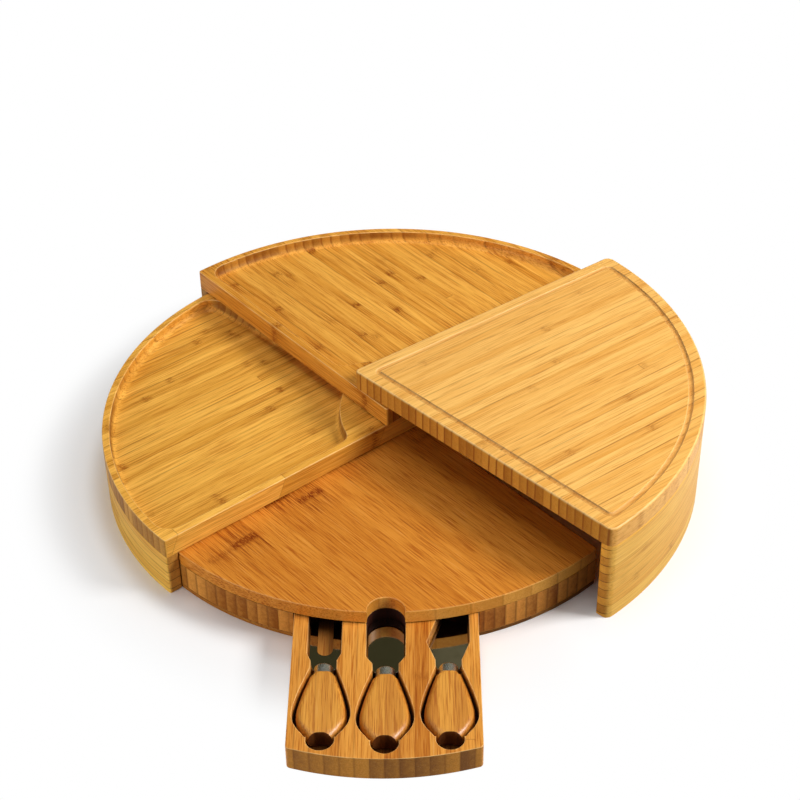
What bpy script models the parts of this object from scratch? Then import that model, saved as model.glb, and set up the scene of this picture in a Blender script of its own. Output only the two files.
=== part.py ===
"""Four-level bamboo cheese board: a base with a knife drawer and three tiers that fan out into a circle.

Every level is a wedge with two straight edges and one arc. All arcs are centred on one vertical
pivot near the wedge's apex, so the levels turn over each other. The origin is the point where the
pivot's axis meets the table, +Z is up and the drawer opens towards -Y. The model stands as the
fanned-out board with its drawer pulled out.
"""

import math

import bmesh
import bpy
from mathutils import Vector

# Plan of the wedge that all levels share
EDGE_HALF_ANGLE = math.radians(41.4)
EDGE_OFFSET = 0.0162
BASE_RADIUS = 0.1986
SKIRT_THICKNESS = 0.0093
SKIRT_CLEARANCE = 0.0007

# Heights of the layers
BOTTOM_PANEL_THICKNESS = 0.0030
GLUE_GAP = 0.0003
RAIL_HEIGHT = 0.0187
TOP_PANEL_THICKNESS = 0.0097
WASHER_THICKNESS = 0.0003
WASHER_GAP = 0.0003
TIER_THICKNESS = 0.0152

# Opening turn of each tier over the level below it
TIER_3_TURN = math.radians(91.34)
TIER_2_TURN = math.radians(90.16)
TIER_1_TURN = math.radians(92.90)
BASE_HEADING = math.radians(-90.0)

# Rounded outlines and edges
ARC_STEPS = 44
FILLET_STEPS = 4
PANEL_CORNER_RADIUS = 0.0018
PANEL_EDGE_ROUND = 0.0008
BOARD_CORNER_RADIUS = 0.0070
BOARD_APEX_RADIUS = 0.0032
BOARD_EDGE_ROUND = 0.0018
EDGE_ROUND_STEPS = 2
OVERRUN = 0.0020
WELD_DISTANCE = 0.00003
FLAT_ANGLE = math.radians(0.2)
CREASE_ANGLE = math.radians(32.0)
UPRIGHT_ANGLE = math.radians(40.0)

# Juice groove of the top board
GROOVE_INSET = 0.0108
GROOVE_RADIUS = 0.0018
GROOVE_CORNER_RADIUS = 0.0045
GROOVE_APEX_RADIUS = 0.0030

# Recess of the two trays
RECESS_ARC_RIM = 0.0055
RECESS_EDGE_RIM = 0.0063
RECESS_DEPTH = 0.0080
RECESS_COVE_RADIUS = 0.0072
RECESS_COVE_STEPS = 5
RECESS_CORNER_RADIUS = 0.0130
RECESS_START = 0.0356
RECESS_START_RADIUS = 0.0800
RECESS_START_FILLET = 0.0090

# Finger notch in the base's lip
NOTCH_RADIUS = 0.01265
NOTCH_DEPTH = 0.0142

# Pivot bolt, its insert and the slip washers
BOLT_RADIUS = 0.0040
BOLT_HEAD_RADIUS = 0.0080
BOLT_HEAD_HEIGHT = 0.0045
BOLT_CLEARANCE = 0.0003
HEAD_SIDE_CLEARANCE = 0.0010
HEX_KEY_RADIUS = 0.0029
HEX_KEY_DEPTH = 0.0025
HEX_KEY_SIDES = 6
INSERT_WALL = 0.0022
INSERT_DEPTH = 0.0100
BOLT_ENGAGEMENT = 0.0088
WASHER_RADIUS = 0.0095
ROUND_STEPS = 32

# Drawer
DRAWER_WIDTH = 0.1218
DRAWER_LENGTH = 0.1400
DRAWER_SIDE_CLEARANCE = 0.0007
DRAWER_TOP_CLEARANCE = 0.0008
DRAWER_BOTTOM_CLEARANCE = 0.0003
DRAWER_REAR_CLEARANCE = 0.0010
DRAWER_PULL = 0.1162
DRAWER_CORNER_RADIUS = 0.0030
DRAWER_FRONT_STEPS = 20
POCKET_FLOOR = 0.0047
POCKET_CLEARANCE = 0.0020
NECK_CLEARANCE = 0.0010
SLOT_DEPTH = 0.0096
SLOT_CLEARANCE = 0.0008
SCOOP_RADIUS = 0.0085
SCOOP_PAST_HANDLE = 0.0047

# Knives: places across the drawer and distances of their tips from the drawer's rear
FORK_ACROSS = -0.0399
SPREADER_ACROSS = 0.0
CLEAVER_ACROSS = 0.0405
FORK_TIP = 0.0072
SPREADER_TIP = 0.0100
CLEAVER_TIP = 0.0072

# Knife sizes, lengths counted from the tip
BLADE_THICKNESS = 0.0012
SHOULDER_AT = 0.0430
NECK_AT = 0.0502
NECK_WIDTH = 0.0144
FORK_WIDTH = 0.0204
FORK_SLOT_WIDTH = 0.0100
FORK_SLOT_LENGTH = 0.0373
TINE_POINT = 0.0030
SPREADER_WIDTH = 0.0238
CLEAVER_WIDTH = 0.0264
CLEAVER_SPINE_AT = 0.0333
CLEAVER_TIP_WIDTH = 0.0160
CLEAVER_SPINE_CORNER = 0.0015
TANG_WIDTH = 0.0050
TANG_LENGTH = 0.0180
TANG_CLEARANCE = 0.0003
FERRULE_LENGTH = 0.0047
FERRULE_WIDTH = 0.0128
FERRULE_HEIGHT = 0.0116
FERRULE_ROUND = 0.0008
PIECE_GAP = 0.0003
HANDLE_LENGTH = 0.0565
HANDLE_THICKNESS = 0.0122
HANDLE_WIDTH = 0.0320
HANDLE_END_WIDTH = 0.0150
HANDLE_ROUND = 0.0040
HANDLE_ROUND_STEPS = 3
HANDLE_SAMPLES = 3

# Handle outline: place along the handle, then how far the half width has gone to the belly
RISE_SHARES = ((0.0, 0.0), (0.25, 0.48), (0.41, 0.75), (0.57, 0.955), (0.65, 1.0))
FALL_SHARES = ((0.73, 0.974), (0.81, 0.83), (0.89, 0.53), (0.95, 0.22), (1.0, 0.0))

# Radii of the nested levels
SKIRT_STEP = SKIRT_THICKNESS + SKIRT_CLEARANCE
TIER_3_RADIUS = BASE_RADIUS + SKIRT_STEP
TIER_2_RADIUS = TIER_3_RADIUS + SKIRT_STEP
TIER_1_RADIUS = TIER_2_RADIUS + SKIRT_STEP

# Heights worked out from the layers
RAIL_BOTTOM = BOTTOM_PANEL_THICKNESS + GLUE_GAP
RAIL_TOP = RAIL_BOTTOM + RAIL_HEIGHT
LIP_BOTTOM = RAIL_TOP + GLUE_GAP
BASE_TOP = LIP_BOTTOM + TOP_PANEL_THICKNESS
TIER_GAP = WASHER_THICKNESS + 2 * WASHER_GAP
TIER_3_BOTTOM = BASE_TOP + TIER_GAP
TIER_3_TOP = TIER_3_BOTTOM + TIER_THICKNESS
TIER_2_BOTTOM = TIER_3_TOP + TIER_GAP
TIER_2_TOP = TIER_2_BOTTOM + TIER_THICKNESS
TIER_1_BOTTOM = TIER_2_TOP + TIER_GAP
TIER_1_TOP = TIER_1_BOTTOM + TIER_THICKNESS

# Drawer places, counted along the base's middle line from the pivot while the drawer is in
DRAWER_REAR = BASE_RADIUS - DRAWER_LENGTH
CAVITY_REAR = DRAWER_REAR - DRAWER_REAR_CLEARANCE
CAVITY_HALF_WIDTH = DRAWER_WIDTH / 2 + DRAWER_SIDE_CLEARANCE
DRAWER_BOTTOM = BOTTOM_PANEL_THICKNESS + DRAWER_BOTTOM_CLEARANCE
DRAWER_TOP = LIP_BOTTOM - DRAWER_TOP_CLEARANCE
POCKET_BOTTOM = DRAWER_BOTTOM + POCKET_FLOOR
SLOT_BOTTOM = DRAWER_TOP - SLOT_DEPTH
BLADE_BOTTOM = SLOT_BOTTOM + PIECE_GAP
HANDLE_BOTTOM = POCKET_BOTTOM + PIECE_GAP
FERRULE_START = NECK_AT + PIECE_GAP
HANDLE_START = FERRULE_START + FERRULE_LENGTH + PIECE_GAP
HANDLE_END = HANDLE_START + HANDLE_LENGTH

BAMBOO_LIGHT = ("bamboo_light", (0.82, 0.55, 0.22), 0.42, 0.0)
BAMBOO_GOLD = ("bamboo_gold", (0.76, 0.46, 0.15), 0.42, 0.0)
BAMBOO_AMBER = ("bamboo_amber", (0.66, 0.34, 0.10), 0.42, 0.0)
BAMBOO_EDGE = ("bamboo_edge", (0.56, 0.33, 0.11), 0.46, 0.0)
STEEL = ("polished_steel", (0.62, 0.62, 0.60), 0.12, 1.0)
ZINC = ("zinc_plated_steel", (0.55, 0.56, 0.57), 0.35, 1.0)
NYLON = ("slip_washer_nylon", (0.80, 0.79, 0.74), 0.50, 0.0)


def unit(angle):
    """Unit vector in plan at an angle from +X."""
    return Vector((math.cos(angle), math.sin(angle)))


def angle_of(vector):
    """Angle of a plan vector from +X."""
    return math.atan2(vector.y, vector.x)


def arc(centre, radius, start, end, steps):
    """Points of an arc in plan, both ends included."""
    spread = [start + (end - start) * i / steps for i in range(steps + 1)]
    return [centre + radius * unit(angle) for angle in spread]


def mirrored(points):
    """The same points on the other side of the wedge's middle line, in reverse order."""
    return [Vector((point.x, -point.y)) for point in reversed(points)]


def edge_reach(radius, offset):
    """Angle from the middle line at which a straight edge meets an arc about the pivot."""
    return EDGE_HALF_ANGLE + math.asin(offset / radius)


def corner_fillet(radius, offset, fillet):
    """Fillet between the arc and the left straight edge, ending on that edge."""
    inward = unit(EDGE_HALF_ANGLE - math.pi / 2)
    reach = math.sqrt((radius - fillet) ** 2 - (offset - fillet) ** 2)
    centre = reach * unit(EDGE_HALF_ANGLE) - (offset - fillet) * inward
    return arc(centre, fillet, angle_of(centre), EDGE_HALF_ANGLE + math.pi / 2, FILLET_STEPS)


def arc_with_corners(radius, offset, fillet):
    """The wedge's round side with a fillet at each end."""
    left = corner_fillet(radius, offset, fillet)
    reach = angle_of(left[0])
    middle = arc(Vector((0.0, 0.0)), radius, -reach, reach, ARC_STEPS)
    return mirrored(left) + middle[1:-1] + left


def wedge_outline(radius, offset, corner, apex):
    """Closed plan outline of a wedge with a rounded apex."""
    centre = Vector((-(offset - apex) / math.sin(EDGE_HALF_ANGLE), 0.0))
    start = EDGE_HALF_ANGLE + math.pi / 2
    tip = arc(centre, apex, start, 2 * math.pi - start, FILLET_STEPS)
    return arc_with_corners(radius, offset, corner) + tip


def recess_outline(radius):
    """Plan outline of a tray's recess, which stops short of the pivot at a shallow arc."""
    offset = EDGE_OFFSET - RECESS_EDGE_RIM
    inward = unit(EDGE_HALF_ANGLE - math.pi / 2)
    along = unit(EDGE_HALF_ANGLE)
    hub = Vector((RECESS_START - RECESS_START_RADIUS, 0.0))
    reach = RECESS_START_RADIUS + RECESS_START_FILLET
    foot = -(offset - RECESS_START_FILLET) * inward - hub
    forward = foot.dot(along)
    travel = math.sqrt(forward ** 2 - foot.length_squared + reach ** 2) - forward
    centre = foot + hub + travel * along
    towards_hub = angle_of(hub - centre) % (2 * math.pi)
    left = arc(centre, RECESS_START_FILLET, EDGE_HALF_ANGLE + math.pi / 2, towards_hub, FILLET_STEPS)
    swing = angle_of(left[-1] - hub)
    start = arc(hub, RECESS_START_RADIUS, swing, -swing, FILLET_STEPS)
    outer = arc_with_corners(radius - RECESS_ARC_RIM, offset, RECESS_CORNER_RADIUS)
    return outer + left + start[1:-1] + mirrored(left)


def skirt_outline(radius):
    """Plan outline of a curved skirt whose end faces are flush with the wedge's straight edges."""
    pivot = Vector((0.0, 0.0))
    outer = edge_reach(radius, EDGE_OFFSET)
    inner_radius = radius - SKIRT_THICKNESS
    inner = edge_reach(inner_radius, EDGE_OFFSET)
    outside = arc(pivot, radius, -outer, outer, ARC_STEPS)
    return outside + arc(pivot, inner_radius, inner, -inner, ARC_STEPS)


def edge_width_at(along):
    """Half the wedge's width at a distance from the pivot along its middle line."""
    return (along + EDGE_OFFSET / math.sin(EDGE_HALF_ANGLE)) * math.tan(EDGE_HALF_ANGLE)


def rail_outline():
    """Plan outline of the block between the drawer's cavity and the wedge's left edge."""
    start = CAVITY_REAR + GLUE_GAP
    nearest = math.asin(CAVITY_HALF_WIDTH / BASE_RADIUS)
    furthest = edge_reach(BASE_RADIUS, EDGE_OFFSET)
    round_side = arc(Vector((0.0, 0.0)), BASE_RADIUS, nearest, furthest, ARC_STEPS // 3)
    return [Vector((start, CAVITY_HALF_WIDTH))] + round_side + [Vector((start, edge_width_at(start)))]


def apex_block_outline():
    """Plan outline of the block round the pivot, behind the drawer's cavity."""
    centre = Vector((-(EDGE_OFFSET - PANEL_CORNER_RADIUS) / math.sin(EDGE_HALF_ANGLE), 0.0))
    start = EDGE_HALF_ANGLE + math.pi / 2
    tip = arc(centre, PANEL_CORNER_RADIUS, start, 2 * math.pi - start, FILLET_STEPS)
    width = edge_width_at(CAVITY_REAR)
    return [Vector((CAVITY_REAR, -width)), Vector((CAVITY_REAR, width))] + tip


def drawer_outline():
    """Plan outline of the drawer, whose front carries on the base's arc."""
    half = DRAWER_WIDTH / 2
    reach = math.asin(half / BASE_RADIUS)
    front = arc(Vector((0.0, 0.0)), BASE_RADIUS, -reach, reach, DRAWER_FRONT_STEPS)
    return [Vector((DRAWER_REAR, -half))] + front + [Vector((DRAWER_REAR, half))]


def smooth_through(points, samples):
    """Points of a smooth curve through the given ones."""
    padded = [points[0]] + points + [points[-1]]
    curve = []
    for before, start, end, after in zip(padded, padded[1:], padded[2:], padded[3:]):
        for i in range(samples):
            t = i / samples
            pull = (end - before) * t + (2 * before - 5 * start + 4 * end - after) * t ** 2
            bend = (3 * start - before - 3 * end + after) * t ** 3
            curve.append(start + (pull + bend) / 2)
    return curve + [points[-1]]


def teardrop_side(start, length, neck, belly, end):
    """Left side of a teardrop, from its neck to its end, given by its half widths."""
    rise = [Vector((start + length * place, neck + (belly - neck) * share)) for place, share in RISE_SHARES]
    fall = [Vector((start + length * place, end + (belly - end) * share)) for place, share in FALL_SHARES]
    return smooth_through(rise + fall, HANDLE_SAMPLES)


def handle_outline():
    """Plan outline of a handle, counted from the knife's tip."""
    side = teardrop_side(HANDLE_START, HANDLE_LENGTH, NECK_WIDTH / 2, HANDLE_WIDTH / 2, HANDLE_END_WIDTH / 2)
    return mirrored(side)[::-1] + side[::-1]


def pocket_outline():
    """Plan outline of the deep pocket that holds a handle and its ferrule."""
    neck = NECK_WIDTH / 2 + NECK_CLEARANCE
    belly = HANDLE_WIDTH / 2 + POCKET_CLEARANCE
    end = HANDLE_END_WIDTH / 2 + POCKET_CLEARANCE
    length = HANDLE_LENGTH + POCKET_CLEARANCE
    side = teardrop_side(HANDLE_START, length, neck, belly, end)
    side.insert(0, Vector((NECK_AT - NECK_CLEARANCE, neck)))
    return mirrored(side)[::-1] + side[::-1]


def fork_outline(grow, tines=True):
    """Plan outline of the fork's blade, or of its slot when it grows by a clearance, from neck to neck."""
    half = FORK_WIDTH / 2 + grow
    slot = FORK_SLOT_WIDTH / 2
    neck = NECK_WIDTH / 2 + grow
    middle = (half + slot) / 2
    slot_end = FORK_SLOT_LENGTH - slot
    root = arc(Vector((slot_end, 0.0)), slot, math.pi / 2, -math.pi / 2, 2 * FILLET_STEPS)
    side = [Vector((NECK_AT, neck)), Vector((SHOULDER_AT, half)), Vector((TINE_POINT - grow, half)),
            Vector((-grow, middle)), Vector((TINE_POINT / 2 - grow, slot))]
    return side + root + mirrored(side) if tines else side[:4] + mirrored(side[:4])


def spreader_outline(grow):
    """Plan outline of the round-ended blade, or of its slot, from neck to neck."""
    half = SPREADER_WIDTH / 2 + grow
    neck = NECK_WIDTH / 2 + grow
    tip = arc(Vector((SPREADER_WIDTH / 2, 0.0)), half, math.pi / 2, 3 * math.pi / 2, 4 * FILLET_STEPS)
    side = [Vector((NECK_AT, neck)), Vector((SHOULDER_AT, half))]
    return side + tip + mirrored(side)


def cleaver_outline(grow):
    """Plan outline of the blade with one slanting side, or of its slot, from neck to neck."""
    half = CLEAVER_WIDTH / 2 + grow
    neck = NECK_WIDTH / 2 + grow
    tip_side = half - CLEAVER_TIP_WIDTH - 2 * grow
    corner = CLEAVER_SPINE_CORNER
    return [Vector((NECK_AT, neck)), Vector((CLEAVER_SPINE_AT, half)), Vector((corner - grow, half)),
            Vector((-grow, half - corner)), Vector((-grow, tip_side + corner)),
            Vector((corner - grow, tip_side)), Vector((CLEAVER_SPINE_AT, -half)), Vector((NECK_AT, -neck))]


def clear_scene():
    """Remove whatever the file holds."""
    for obj in list(bpy.data.objects):
        bpy.data.objects.remove(obj, do_unlink=True)


def new_collection(name):
    """A collection under the scene's own."""
    collection = bpy.data.collections.new(name)
    bpy.context.scene.collection.children.link(collection)
    return collection


def finish(look):
    """Principled material for a finish, made once."""
    name, colour, roughness, metallic = look
    material = bpy.data.materials.get(name)
    if material is None:
        material = bpy.data.materials.new(name)
        material.use_nodes = True
        shader = material.node_tree.nodes["Principled BSDF"]
        shader.inputs["Base Color"].default_value = (*colour, 1.0)
        shader.inputs["Roughness"].default_value = roughness
        shader.inputs["Metallic"].default_value = metallic
    return material


def mesh_object(drawn):
    """Turn a curve object into a closed mesh object and remove the curve."""
    bpy.context.view_layer.update()
    shape = drawn.evaluated_get(bpy.context.evaluated_depsgraph_get())
    mesh = bpy.data.meshes.new_from_object(shape)
    solid = bpy.data.objects.new(drawn.name, mesh)
    solid.matrix_world = drawn.matrix_world.copy()
    bpy.data.objects.remove(drawn, do_unlink=True)
    solid.name = mesh.name
    bm = bmesh.new()
    bm.from_mesh(mesh)
    bmesh.ops.remove_doubles(bm, verts=bm.verts, dist=WELD_DISTANCE)
    bmesh.ops.dissolve_limit(bm, angle_limit=FLAT_ANGLE, verts=bm.verts, edges=bm.edges)
    bmesh.ops.recalc_face_normals(bm, faces=bm.faces)
    bm.to_mesh(mesh)
    bm.free()
    return solid


def prism(name, outline, bottom, top):
    """Flat outline extruded between two heights."""
    curve = bpy.data.curves.new(name, "CURVE")
    curve.dimensions = "2D"
    curve.fill_mode = "BOTH"
    curve.extrude = (top - bottom) / 2
    spline = curve.splines.new("POLY")
    spline.points.add(len(outline) - 1)
    for point, place in zip(spline.points, outline):
        point.co = (place.x, place.y, 0.0, 1.0)
    spline.use_cyclic_u = True
    drawn = bpy.data.objects.new(name, curve)
    drawn.location.z = (top + bottom) / 2
    bpy.context.scene.collection.objects.link(drawn)
    return mesh_object(drawn)


def groove_tube(name, outline, height, radius):
    """Closed round bar along an outline, which cuts a round-bottomed groove."""
    curve = bpy.data.curves.new(name, "CURVE")
    curve.dimensions = "3D"
    curve.bevel_depth = radius
    curve.bevel_resolution = 2
    spline = curve.splines.new("POLY")
    spline.points.add(len(outline) - 1)
    for point, place in zip(spline.points, outline):
        point.co = (place.x, place.y, height, 1.0)
    spline.use_cyclic_u = True
    drawn = bpy.data.objects.new(name, curve)
    bpy.context.scene.collection.objects.link(drawn)
    return mesh_object(drawn)


def rod(name, radius, bottom, top, steps=ROUND_STEPS):
    """Upright cylinder, or a hexagon where it has six steps."""
    mesh = bpy.data.meshes.new(name)
    bm = bmesh.new()
    bmesh.ops.create_cone(bm, cap_ends=True, segments=steps, radius1=radius, radius2=radius,
                          depth=top - bottom)
    bm.to_mesh(mesh)
    bm.free()
    solid = bpy.data.objects.new(name, mesh)
    solid.location.z = (top + bottom) / 2
    return solid


def box(name, low, high):
    """Box between two opposite corners."""
    mesh = bpy.data.meshes.new(name)
    bm = bmesh.new()
    bmesh.ops.create_cube(bm, size=1.0)
    size = Vector(high) - Vector(low)
    bmesh.ops.scale(bm, vec=size, verts=bm.verts)
    bm.to_mesh(mesh)
    bm.free()
    solid = bpy.data.objects.new(name, mesh)
    solid.location = (Vector(high) + Vector(low)) / 2
    return solid


def round_rims(solid, radius, steps, top=True, bottom=False, square_ends=False):
    """Round the rims of a prism's upper or lower face, and leave its two ends along X square if asked."""
    bm = bmesh.new()
    bm.from_mesh(solid.data)
    ends = [max(vertex.co.z for vertex in bm.verts)] if top else []
    if bottom:
        ends.append(min(vertex.co.z for vertex in bm.verts))
    rims = [edge for edge in bm.edges
            if any(all(abs(vertex.co.z - end) < WELD_DISTANCE for vertex in edge.verts) for end in ends)]
    if square_ends:
        rims = [edge for edge in rims if abs(edge.verts[0].co.x - edge.verts[1].co.x) > WELD_DISTANCE]
    bmesh.ops.bevel(bm, geom=rims, offset=radius, offset_type="OFFSET", segments=steps, profile=0.5,
                    affect="EDGES", clamp_overlap=True)
    bm.to_mesh(solid.data)
    bm.free()


def round_uprights(solid, radius, steps, forward_of):
    """Round a prism's sharp upright edges that lie past a place along its middle line."""
    bm = bmesh.new()
    bm.from_mesh(solid.data)
    uprights = [edge for edge in bm.edges
                if abs(edge.verts[0].co.z - edge.verts[1].co.z) > radius
                and edge.verts[0].co.x > forward_of and edge.calc_face_angle() > UPRIGHT_ANGLE]
    bmesh.ops.bevel(bm, geom=uprights, offset=radius, offset_type="OFFSET", segments=steps, profile=0.5,
                    affect="EDGES", clamp_overlap=True)
    bm.to_mesh(solid.data)
    bm.free()


class Model:
    """Collections for the pieces and their cutters, and the steps that put an object in its place."""

    def __init__(self):
        self.pieces = new_collection("cheese_board_set")
        self.cutters = new_collection("cheese_board_cutters")

    def frame(self, name, parent=None, place=(0.0, 0.0, 0.0), turn=0.0):
        """Empty that carries the pieces of one moving level."""
        empty = bpy.data.objects.new(name, None)
        empty.location = place
        empty.rotation_euler.z = turn
        empty.parent = parent
        self.pieces.objects.link(empty)
        return empty

    def piece(self, solid, look, parent):
        """Add a piece with its finish and smooth shading."""
        self._move_to(self.pieces, solid)
        solid.parent = parent
        solid.data.materials.append(finish(look))
        solid.data.shade_smooth()
        solid.data.set_sharp_from_angle(angle=CREASE_ANGLE)
        return solid

    def cut(self, solid, cutter):
        """Cut one shape out of a piece."""
        self._move_to(self.cutters, cutter)
        cutter.parent = solid.parent
        cutter.hide_render = True
        cutter.display_type = "WIRE"
        modifier = solid.modifiers.new(cutter.name, "BOOLEAN")
        modifier.operation = "DIFFERENCE"
        modifier.solver = "EXACT"
        modifier.object = cutter

    @staticmethod
    def _move_to(collection, obj):
        for owner in list(obj.users_collection):
            owner.objects.unlink(obj)
        collection.objects.link(obj)


def bolt_hole(model, solid, bottom, top):
    """Clearance hole for the pivot bolt right through a piece."""
    radius = BOLT_RADIUS + BOLT_CLEARANCE
    model.cut(solid, rod(solid.name + "_bolt_hole", radius, bottom - OVERRUN, top + OVERRUN))


def build_base(model, frame):
    """Fixed level: two panels, three blocks between them, and the cavity for the drawer."""
    outline = wedge_outline(BASE_RADIUS, EDGE_OFFSET, PANEL_CORNER_RADIUS, PANEL_CORNER_RADIUS)
    bottom = prism("base_bottom_panel", outline, 0.0, BOTTOM_PANEL_THICKNESS)
    model.piece(bottom, BAMBOO_EDGE, frame)

    apex = prism("base_apex_block", apex_block_outline(), RAIL_BOTTOM, RAIL_TOP)
    model.piece(apex, BAMBOO_EDGE, frame)
    bolt_hole(model, apex, RAIL_BOTTOM, RAIL_TOP)
    head_space = BOLT_HEAD_HEIGHT + 2 * PIECE_GAP
    counterbore = rod("bolt_head_counterbore", BOLT_HEAD_RADIUS + HEAD_SIDE_CLEARANCE,
                      RAIL_BOTTOM - OVERRUN, BOTTOM_PANEL_THICKNESS + head_space)
    model.cut(apex, counterbore)

    rail = rail_outline()
    model.piece(prism("base_right_rail", rail, RAIL_BOTTOM, RAIL_TOP), BAMBOO_EDGE, frame)
    model.piece(prism("base_left_rail", mirrored(rail), RAIL_BOTTOM, RAIL_TOP), BAMBOO_EDGE, frame)

    top = prism("base_top_panel", outline, LIP_BOTTOM, BASE_TOP)
    round_rims(top, PANEL_EDGE_ROUND, EDGE_ROUND_STEPS)
    model.piece(top, BAMBOO_AMBER, frame)
    bolt_hole(model, top, LIP_BOTTOM, BASE_TOP)
    notch = rod("finger_notch", NOTCH_RADIUS, LIP_BOTTOM - OVERRUN, BASE_TOP + OVERRUN, ROUND_STEPS + 2)
    notch.location.x = BASE_RADIUS - NOTCH_DEPTH + NOTCH_RADIUS
    model.cut(top, notch)


def build_tray(model, frame, name, radius, bottom):
    """Level with a coved recess and a curved skirt under its arc."""
    top = bottom + TIER_THICKNESS
    outline = wedge_outline(radius, EDGE_OFFSET, PANEL_CORNER_RADIUS, PANEL_CORNER_RADIUS)
    tray = prism(name + "_tray", outline, bottom, top)
    round_rims(tray, PANEL_EDGE_ROUND, EDGE_ROUND_STEPS)
    model.piece(tray, BAMBOO_GOLD, frame)
    recess = prism(name + "_recess", recess_outline(radius), top - RECESS_DEPTH, top + OVERRUN)
    round_rims(recess, RECESS_COVE_RADIUS, RECESS_COVE_STEPS, top=False, bottom=True)
    model.cut(tray, recess)
    bolt_hole(model, tray, bottom, top)
    skirt = prism(name + "_skirt", skirt_outline(radius), 0.0, bottom - GLUE_GAP)
    model.piece(skirt, BAMBOO_GOLD, frame)


def build_top_board(model, frame):
    """Uppermost level: a flat board with a juice groove, over the outermost skirt."""
    outline = wedge_outline(TIER_1_RADIUS, EDGE_OFFSET, BOARD_CORNER_RADIUS, BOARD_APEX_RADIUS)
    board = prism("tier_1_board", outline, TIER_1_BOTTOM, TIER_1_TOP)
    round_rims(board, BOARD_EDGE_ROUND, EDGE_ROUND_STEPS)
    model.piece(board, BAMBOO_LIGHT, frame)
    path = wedge_outline(TIER_1_RADIUS - GROOVE_INSET, EDGE_OFFSET - GROOVE_INSET, GROOVE_CORNER_RADIUS,
                         GROOVE_APEX_RADIUS)
    model.cut(board, groove_tube("juice_groove", path, TIER_1_TOP, GROOVE_RADIUS))

    insert_radius = BOLT_RADIUS + BOLT_CLEARANCE + INSERT_WALL
    seat = rod("insert_seat", insert_radius + PIECE_GAP, TIER_1_BOTTOM - OVERRUN,
               TIER_1_BOTTOM + INSERT_DEPTH + PIECE_GAP)
    model.cut(board, seat)
    insert = rod("pivot_insert", insert_radius, TIER_1_BOTTOM, TIER_1_BOTTOM + INSERT_DEPTH)
    model.piece(insert, ZINC, frame)
    bore = rod("insert_bore", BOLT_RADIUS + BOLT_CLEARANCE, TIER_1_BOTTOM - OVERRUN,
               TIER_1_BOTTOM + BOLT_ENGAGEMENT + PIECE_GAP)
    model.cut(insert, bore)

    skirt = prism("tier_1_skirt", skirt_outline(TIER_1_RADIUS), 0.0, TIER_1_BOTTOM - GLUE_GAP)
    round_uprights(skirt, BOARD_EDGE_ROUND, EDGE_ROUND_STEPS, 0.0)
    model.piece(skirt, BAMBOO_LIGHT, frame)


def build_pivot(model, frames):
    """Bolt up through all levels, and a slip washer in each gap."""
    base, tier_3, tier_2 = frames
    head_bottom = BOTTOM_PANEL_THICKNESS + PIECE_GAP
    head_top = head_bottom + BOLT_HEAD_HEIGHT
    end = TIER_1_BOTTOM + BOLT_ENGAGEMENT
    mesh = bpy.data.meshes.new("pivot_bolt")
    profile = [(0.0, end), (BOLT_RADIUS, end), (BOLT_RADIUS, head_top), (BOLT_HEAD_RADIUS, head_top),
               (BOLT_HEAD_RADIUS, head_bottom), (0.0, head_bottom)]
    mesh.from_pydata([(radius, 0.0, height) for radius, height in profile],
                     [(i, i + 1) for i in range(len(profile) - 1)], [])
    bolt = bpy.data.objects.new("pivot_bolt", mesh)
    turn = bolt.modifiers.new("turned", "SCREW")
    turn.steps = ROUND_STEPS
    turn.render_steps = ROUND_STEPS
    turn.use_merge_vertices = True
    turn.merge_threshold = WELD_DISTANCE
    model.piece(bolt, ZINC, base)
    socket = rod("hex_key_socket", HEX_KEY_RADIUS, head_bottom - OVERRUN, head_bottom + HEX_KEY_DEPTH,
                 HEX_KEY_SIDES)
    model.cut(bolt, socket)

    levels = (("washer_over_base", BASE_TOP, base), ("washer_over_tier_3", TIER_3_TOP, tier_3),
              ("washer_over_tier_2", TIER_2_TOP, tier_2))
    for name, below, frame in levels:
        bottom = below + WASHER_GAP
        washer = rod(name, WASHER_RADIUS, bottom, bottom + WASHER_THICKNESS)
        model.piece(washer, NYLON, frame)
        bolt_hole(model, washer, bottom, bottom + WASHER_THICKNESS)


def build_drawer(model, frame, knives):
    """Drawer cut from one laminated block, with a pocket, a slot and a finger scoop for each knife."""
    block = prism("drawer_block", drawer_outline(), DRAWER_BOTTOM, DRAWER_TOP)
    round_uprights(block, DRAWER_CORNER_RADIUS, FILLET_STEPS, DRAWER_REAR + DRAWER_CORNER_RADIUS)
    model.piece(block, BAMBOO_GOLD, frame)
    for name, across, tip, outline in knives:
        place = Vector((DRAWER_REAR + tip, across))
        slot = prism(name + "_slot", [point + place for point in outline], SLOT_BOTTOM, DRAWER_TOP + OVERRUN)
        model.cut(block, slot)
        hollow = [point + place for point in pocket_outline()]
        model.cut(block, prism(name + "_pocket", hollow, POCKET_BOTTOM, DRAWER_TOP + OVERRUN))
        scoop = rod(name + "_scoop", SCOOP_RADIUS, POCKET_BOTTOM - PIECE_GAP, DRAWER_TOP + OVERRUN)
        scoop.location.x = place.x + HANDLE_END + SCOOP_PAST_HANDLE
        scoop.location.y = across
        model.cut(block, scoop)


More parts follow.
